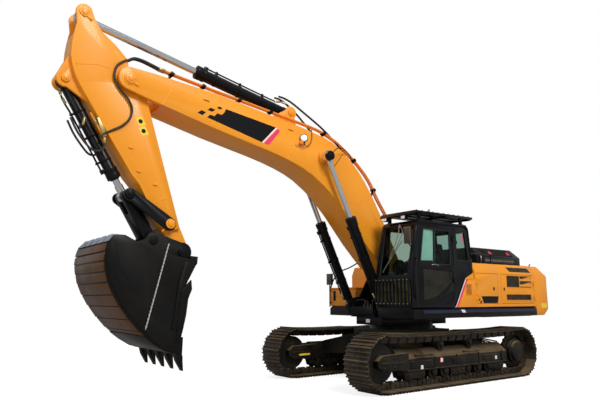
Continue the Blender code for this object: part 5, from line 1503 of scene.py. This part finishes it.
    # painted reflection: an olive plate stands in for the reflections on the lower front glass
    # behind the guard bars
    Part().block(1.262, 1.299, 0.615, 1.455, 1.53, 1.93).done(
        "front_guard_painted_reflection", OLIVE_PAINTED_REFLECTION, "upperstructure"
    )
    grid = Part()
    for index in range(9):
        y = 0.605 + 0.03 + 0.0456 + index * 0.0978
        grid.rod((1.312, y, 1.53), (1.312, y, 1.93), 0.009, 8)
    grid.rod((1.318, 0.61, 1.73), (1.318, 1.46, 1.73), 0.01, 8)
    grid.done("front_guard_rods", CAB_BLACK, "upperstructure")

    mirrors = Part()
    mirrors.block(1.321, 1.326, 1.47, 1.61, 2.612, 2.848)
    x, y = 0.768, -1.45
    mirrors.block(x - 0.026, x - 0.021, y - 0.082, y + 0.082, 1.928, 2.162)
    mirrors.done("mirror_glass", MIRROR, "upperstructure", 0.003)
    back = Part()
    back.tapered((1.372, 1.435, 1.618, 2.6, 2.915), (1.394, 1.46, 1.596, 2.64, 2.88))
    back.tapered(
        (x + 0.02, y - 0.085, y + 0.085, 1.925, 2.165), (x + 0.038, y - 0.06, y + 0.06, 1.96, 2.13)
    )
    back.done("mirror_backs", MIRROR_BACK, "upperstructure", 0.006)

    beacon = Part()
    beacon.turned(
        (-0.42, 0.72, 3.255), (0, 0, 1),
        ((0.0, 0.045), (0.02, 0.045), (0.022, 0.012), (0.16, 0.006)), 16
    )
    beacon.turned(
        (0.62, 1.42, 3.255), (0, 0, 1), ((0.0, 0.012), (0.03, 0.01), (0.05, 0.016), (0.06, 0.01)),
        12
    )
    beacon.done("roof_fittings", BLACK, "upperstructure")


def padded_block(corners, crown):
    """A cushion: a rounded block whose faces swell and whose edges pull in."""
    (x0, x1), (y0, y1), (z0, z1) = corners
    centre = Vector(((x0 + x1) / 2, (y0 + y1) / 2, (z0 + z1) / 2))
    half = Vector(((x1 - x0) / 2, (y1 - y0) / 2, (z1 - z0) / 2))
    mesh = bmesh.new()
    bmesh.ops.create_cube(mesh, size=2.0)
    bmesh.ops.subdivide_edges(mesh, edges=mesh.edges, cuts=21, use_grid_fill=True)
    for vert in mesh.verts:
        u, v, w = vert.co
        swell = Vector((
            u * (1 + crown * (1 - v * v) * (1 - w * w)),
            v * (1 + crown * (1 - u * u) * (1 - w * w)),
            w * (1 + 1.8 * crown * (1 - u * u) * (1 - v * v)),
        ))
        length = max(abs(u), abs(v), abs(w)) / max(
            (abs(u) ** 6 + abs(v) ** 6 + abs(w) ** 6) ** (1 / 6), 0.001
        )
        channel = 0.0
        if w > 0.9 and abs(abs(v) - 0.55) < 0.09:
            channel = 0.1 * (1 - abs(abs(v) - 0.55) / 0.09)
        shaped = swell * length
        shaped.z -= channel
        scale = 1 / (1 + crown)
        vert.co = centre + Vector(
            (shaped.x * half.x * scale, shaped.y * half.y * scale, shaped.z * half.z * scale)
        )
    return mesh


def puff(piece):
    """Let a cushion swell under pressure as cloth, each point capped at SWELL."""
    scene = bpy.context.scene
    cloth = piece.modifiers.new("swell", "CLOTH")
    cloth.settings.use_pressure = True
    cloth.settings.uniform_pressure_force = 4.0
    cloth.settings.effector_weights.gravity = 0.0
    for frame in range(1, 21):
        scene.frame_set(frame)
    moved = piece.evaluated_get(bpy.context.evaluated_depsgraph_get())
    spots = [vert.co.copy() for vert in moved.data.vertices]
    piece.modifiers.remove(cloth)
    scene.frame_set(1)
    for vert, spot in zip(piece.data.vertices, spots):
        step = spot - vert.co
        if step.length > SWELL:
            step *= SWELL / step.length
        vert.co += step


def make_cab_inside():
    """Operator's seat, levers, pedals, screen and headliner."""
    pads = (
        ("seat_cushion", ((0.09, 0.6), (0.805, 1.265), (1.8, 1.93)), 0.1, Matrix.Identity(4)),
        (
            "seat_back", ((-0.315, 0.315), (0.815, 1.255), (-0.065, 0.065)), 0.1,
            Matrix.Translation((0.055, 0.0, 2.2)) @ Matrix.Rotation(math.radians(-77), 4, "Y")
        ),
        (
            "seat_headrest", ((-0.105, 0.105), (0.9, 1.17), (-0.05, 0.05)), 0.12,
            Matrix.Translation((-0.025, 0.0, 2.6)) @ Matrix.Rotation(math.radians(-80), 4, "Y")
        ),
    )
    scene = bpy.context.scene
    for index, (name, corners, crown, turn) in enumerate(pads):
        mesh = padded_block(corners, crown)
        mesh.transform(MACHINE @ turn)
        data = bpy.data.meshes.new(name)
        mesh.to_mesh(data)
        mesh.free()
        piece = bpy.data.objects.new(name, data)
        scene.collection.objects.link(piece)
        puff(piece)
        data.materials.append(CLOTH)
        data.shade_smooth()
        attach(piece, "upperstructure")
        if index == 0:
            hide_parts("operator_seat")
    trim = Part()
    for side in (-1, 1):
        y = 1.035 + side * 0.288
        trim.block(0.16, 0.52, y - 0.04, y + 0.04, 2.115, 2.15)
        trim.rod((0.53, y, 2.14), (0.57, y, 2.27), 0.01, 8)
        trim.turned(
            (0.565, y, 2.25), (0.25, 0, 1),
            ((0.0, 0.014), (0.02, 0.024), (0.085, 0.026), (0.105, 0.014)), 14
        )
        trim.rod((0.98, 1.035 + side * 0.09, 1.5), (0.88, 1.035 + side * 0.09, 1.84), 0.011, 8)
        trim.turned((0.88, 1.035 + side * 0.09, 1.83), (0, 0, 1), ((0.0, 0.018), (0.05, 0.016)), 12)
        trim.plate(
            [(0.93, 1.5), (1.1, 1.53), (1.1, 1.545), (0.93, 1.52)], 0.98 + side * 0.09,
            1.09 + side * 0.09
        )
    trim.block(0.99, 1.03, 0.66, 0.84, 1.98, 2.12)
    trim.block(0.05, 0.11, 1.015, 1.055, 2.46, 2.56)
    trim.rod((1.05, 0.7, 1.5), (1.03, 0.72, 2.0), 0.014, 8)
    trim.block(-0.4, 0.95, 0.66, 1.4, 2.985, 3.005)
    trim.done("cab_interior_trim", TRIM, "upperstructure", 0.006)


# ----------------------------------------------------------------------- house
def louvre(frames, dark, slats, outline, face, count):
    """A framed opening on a side panel with leaning slats in front of mesh."""
    (x0, x1), (z0, z1) = outline
    y, way = face
    dark.plate([(x0, z0), (x1, z0), (x1, z1), (x0, z1)], y, y + way * 0.0012)
    for a, b, c, d in (
        (x0 - 0.012, x1 + 0.012, z0 - 0.012, z0), (x0 - 0.012, x1 + 0.012, z1, z1 + 0.012),
        (x0 - 0.012, x0, z0, z1), (x1, x1 + 0.012, z0, z1)
    ):
        frames.block(a, b, y - way * 0.002, y + way * 0.006, c, d)
    step = (z1 - z0) / count
    leaf = ((0.0005, -0.28), (0.009, -0.36), (0.009, -0.24), (0.0005, 0.02))
    for index in range(count):
        z = z0 + (index + 0.5) * step
        slats.loft(*[[(x, y + way * off, z + step * up) for off, up in leaf] for x in (x0, x1)])


def make_house_side():
    """Grilles, locks, decals and plates on the side panels."""
    y = CAB_SIDE
    for name, side, body in (("left", 1, "left_rear_door"), ("right", -1, "right_rear_door")):
        face = side * y
        frames, dark, slats, mesh = Part(), Part(), Part(), Part()
        louvre(frames, dark, mesh, ((-2.16, -1.7), (1.85, 2.09)), (face, side), 12)
        louvre(frames, dark, slats, ((-2.62, -2.185), (1.85, 2.09)), (face, side), 2)
        louvre(frames, dark, mesh, ((-2.59, -1.67), (1.58, 1.695)), (face, side), 6)
        bars = Part()
        for x0, x1, z0, z1 in ((-2.6, -2.2, 1.865, 1.955), (-2.6, -2.2, 1.985, 2.08)):
            bars.plate(
                [(x1, z0), (x1, z0 + 0.03), (x0 + 0.05, z1), (x0, z1), (x0, z0 + 0.03), (x0, z0)],
                face, face + side * 0.006
            )
        frames.done(f"{name}_grille_frames", ORANGE, body, 0.002)
        dark.done(f"{name}_grille_dark", GRILLE, body)
        slats.done(f"{name}_grille_slats", ORANGE, body)
        bars.done(f"{name}_grille_bars", ORANGE_PIPE, body, 0.002)
        mesh.done(f"{name}_grille_mesh", GRILLE, body)
        lock = Part()
        lock.block(-1.615, -1.575, face, face + side * 0.008, 1.775, 1.835)
        lock.turned((-1.595, face, 1.815), (0, side, 0), ((0.0, 0.012), (0.016, 0.011)), 14)
        lock.done(f"{name}_rear_lock", BLACK, body, 0.002)
        # slanted grille on the fold above the door
        lean = Part()
        corner = Vector((0.0, y, 2.14)), Vector((0.0, y - 0.1, 2.33))
        way = (corner[1] - corner[0]).normalized()
        out = Vector((0.0, way.z, -way.y))

        def folded(x, rise, proud):
            spot = corner[0] + way * rise + out * proud
            return (x, side * spot.y, spot.z)

        outline = [(-1.78, 0.15), (-1.86, 0.04), (-2.66, 0.04), (-2.6, 0.15)]
        lean.raised(folded, outline, -0.001, 0.0015)
        for index in range(22):
            x = -1.87 - index * 0.035
            lean.loft(
                [
                    folded(x, 0.048, 0.001), folded(x - 0.01, 0.048, 0.001),
                    folded(x - 0.01, 0.142, 0.001), folded(x, 0.142, 0.001)
                ],
                [
                    folded(x, 0.048, 0.005), folded(x - 0.004, 0.048, 0.005),
                    folded(x - 0.004, 0.142, 0.005), folded(x, 0.142, 0.005)
                ],
            )
        lean.done(f"{name}_fold_grille", GRILLE, "upperstructure")

    frames, dark, slats = Part(), Part(), Part()
    louvre(frames, dark, slats, ((-0.48, -0.31), (1.68, 1.89)), (y, 1), 9)
    frames.done("cheek_louvre_frame", ORANGE, "upperstructure", 0.002)
    # painted shade: a darker orange plate fills the opening behind the cheek louvre's slats
    dark.done("cheek_louvre_painted_shade", LOUVRE_PAINTED_SHADE, "upperstructure")
    slats.done("cheek_louvre_slats", ORANGE, "upperstructure")
    lock = Part()
    lock.block(-1.25, -1.21, y, y + 0.008, 1.775, 1.84)
    lock.turned((-1.23, y, 1.822), (0, 1, 0), ((0.0, 0.013), (0.016, 0.011)), 14)
    lock.done("front_door_lock", BLACK, "left_front_door", 0.002)

    badge = Part()
    for outline in (
        [(-0.86, 1.515), (-0.8, 1.655), (-1.385, 1.655), (-1.34, 1.515)],
        [(-0.79, 1.515), (-0.74, 1.515), (-0.76, 1.56), (-0.812, 1.56)],
        [(-0.745, 1.565), (-0.7, 1.565), (-0.715, 1.605), (-0.762, 1.605)],
        [(-0.7, 1.61), (-0.662, 1.61), (-0.675, 1.648), (-0.715, 1.648)],
    ):
        badge.plate(outline, y + 0.0003, y + SKIN)
    badge.done("door_badge", DECAL_BLACK, "left_front_door")
    Part().plate(
        [(0.045, 1.448), (-0.293, 1.986), (-0.326, 1.986), (0.01, 1.448)], y + 0.0003, y + SKIN
    ).done("cheek_white_stripe", DECAL_WHITE, "upperstructure")
    Part().plate(
        [(0.01, 1.448), (-0.326, 1.986), (-0.388, 1.986), (-0.05, 1.448)], y + 0.0003, y + SKIN
    ).done("cheek_pink_stripe", DECAL_PINK, "upperstructure")
    Part().plate(
        [(-0.29, 2.0), (-0.31, 1.984), (-0.556, 1.984), (-0.556, 2.12)], 1.4885, 1.4975
    ).done("cheek_corner", ORANGE, "upperstructure")
    stickers = Part()
    for side in (-1, 1):
        stickers.plate(
            [(-2.985, 1.4), (-2.985, 1.51), (-3.215, 1.51), (-3.215, 1.4)], side * (y + 0.0003),
            side * (y + SKIN)
        )
    stickers.done("tail_stickers", DECAL_YELLOW, "upperstructure")
    # painted reflection: dark blue plates on the skirt's bevel and on the face below it stand in
    # for the sky's sheen
    painted_sheen_plates = Part()
    ledge = [
        (0.95, 1.4905, 1.39), (-2.74, 1.4905, 1.39), (-2.74, 1.4185, 1.438), (0.95, 1.4185, 1.438)
    ]
    painted_sheen_plates.loft(*[[(x, y + off, z + off) for x, y, z in ledge] for off in (0.0, SKIN)])
    painted_sheen_plates.plate([(0.95, 1.335), (0.95, 1.389), (-2.74, 1.389), (-2.74, 1.335)], 1.4905, 1.4915)
    painted_sheen_plates.done("skirt_painted_sheen", PAINTED_BLUE_SHEEN, "upperstructure")
    plate = Part()
    for side in (-1, 1):
        plate.plate(
            [(-0.115, 1.392), (-0.225, 1.392), (-0.275, 1.338), (-0.165, 1.338)], side * 1.4912,
            side * 1.493
        )
    plate.block(1.08, 1.084, 0.07, 0.18, 1.13, 1.2)
    plate.done("white_plates", DECAL_WHITE, "upperstructure")


def make_hood_details():
    """Mesh window, slots and handles of the raised engine cover."""
    low, high = Vector((0.0, 1.08, 2.53)), Vector((0.0, 0.93, 2.72))
    way = (high - low).normalized()
    out = Vector((0.0, way.z, -way.y))

    def sloped(x, rise, proud):
        spot = low + way * rise + out * proud
        return (x, spot.y, spot.z)

    dark, ribs, marks = Part(), Part(), Part()
    outline = [(-1.52, 0.205), (-1.62, 0.05), (-2.66, 0.05), (-2.56, 0.205)]
    dark.raised(sloped, outline, -0.002, 0.002)
    dark.done("hood_mesh", GRILLE, "engine_hood")
    for index in range(26):
        x = -1.64 - index * 0.038
        leaf = [(x, 0.055), (x - 0.012, 0.055), (x + 0.06, 0.2), (x + 0.072, 0.2)]
        ribs.raised(sloped, leaf, 0.001, 0.008)
    for a, b in zip(outline, outline[1:] + outline[:1]):
        ribs.pipe([sloped(*a, 0.004), sloped(*b, 0.004)], 0.007, 6)
    ribs.done("hood_mesh_ribs", BLACK, "engine_hood")
    for x in (-1.78, -2.46):
        mark = [(x, 0.07), (x - 0.13, 0.07), (x - 0.08, 0.15), (x - 0.02, 0.15)]
        marks.raised(sloped, mark, 0.006, 0.01)
    marks.done("hood_red_marks", RED_MARK, "engine_hood")
    slots = Part()
    for index in range(13):
        x = -1.6 - index * 0.082
        slots.plate([(x, 2.426), (x - 0.062, 2.426), (x - 0.062, 2.458), (x, 2.458)], 1.0795, 1.082)
    slots.done("hood_slots", STEEL, "engine_hood")
    Part().plate(
        [(-1.545, 2.392), (-2.66, 2.392), (-2.66, 2.5), (-1.545, 2.5)], 1.079, 1.0805
    ).done("hood_slot_panel", GRILLE, "engine_hood")
    Part().pipe(
        [(-1.4, 1.076, 2.385), (-1.4, 1.1, 2.392), (-1.4, 1.1, 2.522), (-1.4, 1.076, 2.529)], 0.013,
        8
    ).done("hood_handle", STEEL, "engine_hood", 0.0, 60)
    top = Part()
    for x in (-1.55, -2.05, -2.55):
        top.block(x - 0.18, x + 0.18, -0.62, 0.74, 2.716, 2.728)
    top.turned((-2.35, -0.42, 2.715), (0, 0, 1), ((0.0, 0.105), (0.02, 0.105), (0.022, 0.075)), 28)
    top.done("hood_top_panels", BLACK, "engine_hood", 0.006)
    Part().hose(
        [(-2.35, -0.42, 2.7), (-2.35, -0.42, 2.86), (-2.38, -0.42, 2.96), (-2.5, -0.42, 3.02)],
        0.06, 6, 20
    ).done("exhaust_stack", BLACK, "engine_hood", 0.0, 60)


def make_house_top():
    """Caps, rails, walkway plates and lifting eyes on the house."""
    black = Part()
    for x, y in ((-0.28, -1.05), (-1.0, -0.85)):
        black.turned(
            (x, y, 2.33), (0, 0, 1),
            ((0.0, 0.095), (0.012, 0.095), (0.014, 0.07), (0.075, 0.068), (0.082, 0.055)), 28
        )
    for x0, x1, inner in ((-1.38, -0.72, -1.14), (-0.56, -0.42, -1.3)):
        black.block(x0, x1, -1.36, inner, 2.33, 2.3365)
    black.block(-2.7, -1.5, 1.15, 1.36, 2.33, 2.336)
    black.block(-1.4, -0.66, 0.62, 1.34, 2.33, 2.336)
    for y in (-0.85, 0.85):
        ring = [(-3.05, across, up) for across, up in arc((0.0, 0.0), 1.0, 0.0, 180.0, 10)]
        black.pipe([(x, y + 0.075 * u, 2.335 + 0.085 * v) for x, u, v in ring], 0.02, 10)
    black.pipe([(-3.02, 1.22, 2.33), (-3.06, 1.24, 2.4)], 0.012, 8)
    black.done("house_top_fittings", BLACK, "upperstructure", 0.003)
    rails = Part()
    rails.hose(
        [
            (0.66, -1.42, 1.44), (0.66, -1.545, 1.5), (0.64, -1.55, 1.9), (0.42, -1.545, 2.2),
            (0.1, -1.5, 2.34), (-0.1, -1.42, 2.46)
        ],
        0.016, 8, 10
    )
    rails.hose(
        [
            (-0.1, -1.42, 2.46), (-0.6, -1.41, 2.49), (-1.3, -1.41, 2.49), (-1.4, -1.4, 2.46),
            (-1.42, -1.39, 2.33)
        ],
        0.016, 6, 10
    )
    for x in (-0.15, -0.72):
        rails.rod((x, -1.41, 2.3), (x, -1.41, 2.475), 0.013, 8)
    for x, top in ((-0.66, 2.52), (-1.35, 2.52)):
        rails.rod((x, 1.37, 2.33), (x, 1.37, top), 0.013, 8)
    rails.pipe([(-0.66, 1.37, 2.52), (-1.35, 1.37, 2.52)], 0.014, 8)
    rails.done("house_rails", BLACK, "upperstructure", 0.0, 60)
    tread = Part()
    for x in [0.12 + 0.055 * i for i in range(11)]:
        for y in [-1.42 + 0.09 * j for j in range(9)]:
            tread.turned((x, y, 1.85), (0, 0, 1), ((0.0, 0.016), (0.004, 0.013)), 8)
    tread.done("toolbox_tread", BLACK, "toolbox_lid")
    latch = Part()
    latch.block(0.731, 0.742, -1.36, -1.29, 1.56, 1.78)
    latch.block(0.742, 0.752, -1.345, -1.305, 1.6, 1.7)
    latch.turned((0.742, -1.325, 1.745), (1, 0, 0), ((0.0, 0.014), (0.01, 0.012)), 12)
    latch.done("toolbox_latch", BLACK, "upperstructure", 0.003)
    Part().block(0.73, 0.7312, -1.485, -0.625, 1.64, 1.644).done(
        "toolbox_seam", GRILLE, "upperstructure"
    )


def make_tail():
    """Rear face: lamps, reflectors, casting seams and the camera."""
    radius = 3.6
    lens, black, red = Part(), Part(), Part()
    for side in (-1, 1):
        a = side * 0.345
        centre = Vector((-radius * math.cos(a), radius * math.sin(a), 0.0))
        out = Vector((-math.cos(a), math.sin(a), 0.0))
        along = Vector((0, 0, 1)).cross(out)

        def panel(part, u0, u1, z0, z1, d0, d1):
            corners = [(u0, z0), (u1, z0), (u1, z1), (u0, z1)]
            part.loft(
                *[
                    [tuple(centre + along * u + out * d + Vector((0, 0, z))) for u, z in corners]
                    for d in (d0, d1)
                ]
            )

        panel(black, -0.085, 0.085, 1.78, 2.02, -0.02, 0.012)
        panel(lens, -0.065, 0.065, 1.8, 1.89, 0.01, 0.018)
        panel(red, -0.065, 0.065, 1.91, 2.0, 0.01, 0.018)
        panel(red, -0.1, 0.1, 1.45, 1.49, -0.002, 0.004)
    black.block(-3.645, -3.595, -0.06, 0.06, 2.02, 2.1)
    for y0 in (-0.62, 0.62):
        a = math.asin(y0 / radius)
        black.block(
            -radius * math.cos(a) - 0.001, -radius * math.cos(a) + 0.02, y0 - 0.004, y0 + 0.004,
            1.4, 2.1
        )
    black.done("tail_fittings", BLACK, "upperstructure", 0.003)
    lens.done("tail_lenses", LENS, "upperstructure", 0.003)
    red.done("tail_reflectors", RED_MARK, "upperstructure", 0.002)


def make_deck_parts():
    """Skirt seams, belly block, boom foot caps, and hoses at the boom's foot."""
    belly = Part()
    belly.deck(
        [(-0.72, -0.34), (0.95, -0.34), (1.08, -0.22), (1.08, 0.5), (0.95, 0.62), (-0.72, 0.62)],
        1.09, 1.243
    )
    for x0, x1, side in (
        (-2.7, -1.6, -1), (-2.7, -1.6, 1), (-1.5, -0.95, -1), (-1.5, -0.95, 1), (0.98, 1.2, 1)
    ):
        belly.block(x0, x1, side * 0.75, side * 1.4, 1.228, 1.242)
    belly.done("belly_plates", BLACK, "upperstructure", 0.008)
    skirt = Part()
    for x in (-2.1, -1.4, -0.62, 0.3, 0.86):
        skirt.block(x - 0.003, x + 0.003, 1.4895, 1.4915, 1.245, 1.388)
    for x in (-2.1, -1.4, -0.62, 0.06):
        skirt.block(x - 0.003, x + 0.003, -1.4915, -1.4895, 1.245, 1.388)
    for index in range(10):
        x = -2.6 + index * 0.4
        skirt.turned((x, 1.49, 1.285), (0, 1, 0), ((0.0, 0.012), (0.008, 0.01)), 6)
        if x < 0.7:
            skirt.turned((x, -1.49, 1.285), (0, -1, 0), ((0.0, 0.012), (0.008, 0.01)), 6)
    skirt.done("skirt_seams", BLACK, "upperstructure")
    signs, edge = Part(), Part()
    for side in (-1, 1):
        for x, z in ((1.03, 0.387), (0.485, 0.48), (-1.205, 0.428)):
            signs.block(x - 0.03, x + 0.03, side * 1.448, side * 1.465, z - 0.034, z + 0.034)
        edge.block(0.446, 0.524, side * 1.448, side * 1.4642, 0.436, 0.524)
    marks = Part()
    for side in (-1, 1):
        marks.plate(
            [(1.64, 0.448), (1.9, 0.438), (1.93, 0.458), (1.88, 0.48), (1.64, 0.478)],
            side * 1.0825, side * 1.0665
        )
    marks.done("track_frame_marks", DECAL_YELLOW, "undercarriage")
    signs.done("track_frame_plates", DECAL_WHITE, "undercarriage")
    edge.done("track_frame_plate_edge", RED_MARK, "undercarriage")
    caps = Part()
    for side in (-1, 1):
        pin_cap(caps, 0.36, 2.2, 0.371, side, 0.1)
        pin_cap(caps, 1.0, 1.47, 0.546, side, 0.078)
    caps.done("frame_pin_caps", BLACK, "upperstructure", 0.002)
    hoses = Part()
    for index, y in enumerate((-0.26, -0.2, -0.14, 0.14, 0.2, 0.26)):
        lift = 0.02 * (index % 3)
        hoses.hose(
            [
                (-0.42, y, 1.98 + lift), (-0.34, y, 2.12 + lift), (-0.18, y, 2.25 + lift),
                (0.02, y, 2.34 + lift)
            ],
            0.022, 6, 10
        )
    hoses.done("boom_foot_hoses", HOSE, "upperstructure", 0.0, 60)
    brass = Part()
    valve = Part()
    valve.block(0.62, 0.92, -0.3, -0.02, 1.44, 1.515)
    valve.block(0.68, 0.86, 0.06, 0.28, 1.44, 1.505)
    valve.done("frame_valve_blocks", BLACK, "upperstructure", 0.008)
    lines = Part()
    for index, (y0, y1) in enumerate(((-0.24, -0.43), (-0.16, -0.44), (0.12, 0.43), (0.2, 0.44))):
        z = 1.5
        lines.hose(
            [
                (0.8, y0, z), (0.83, y0 * 1.1, z + 0.06), (0.9, (y0 + y1) / 2, z + 0.08),
                (1.02, y1 * 0.88, z + 0.02), (1.06, y1 * 0.8, 1.46), (1.0, y1 * 0.78, 1.38)
            ],
            0.015, 6
        )
        brass.rod((0.8, y0, z - 0.01), (0.805, y0, z + 0.045), 0.021, 6)
    for index in range(5):
        y = 0.02 + index * 0.095
        lines.hose(
            [
                (0.96, y, 1.46), (1.08, y + 0.02, 1.485), (1.135, y + 0.05, 1.42),
                (1.1, y + 0.07, 1.34), (1.0, y + 0.08, 1.31)
            ],
            0.013, 6
        )
        brass.rod((1.096, y + 0.026, 1.475), (1.128, y + 0.045, 1.435), 0.018, 6)
    lines.done("frame_hoses", HOSE, "upperstructure", 0.0, 60)
    brass.done("frame_fittings", BRASS, "upperstructure", 0.002)


MAKERS = (
    make_tracks,
    make_running_gear,
    make_slewing_details,
    make_boom_marks,
    make_boom_fittings,
    make_boom_lines,
    make_cylinder_details,
    make_arm_details,
    make_link_details,
    make_bucket_details,
    make_cab_outside,
    make_cab_inside,
    make_house_side,
    make_hood_details,
    make_house_top,
    make_tail,
    make_deck_parts,
)


def main():
    make_stage()
    make_skins()
    for maker in MAKERS:
        maker()


main()
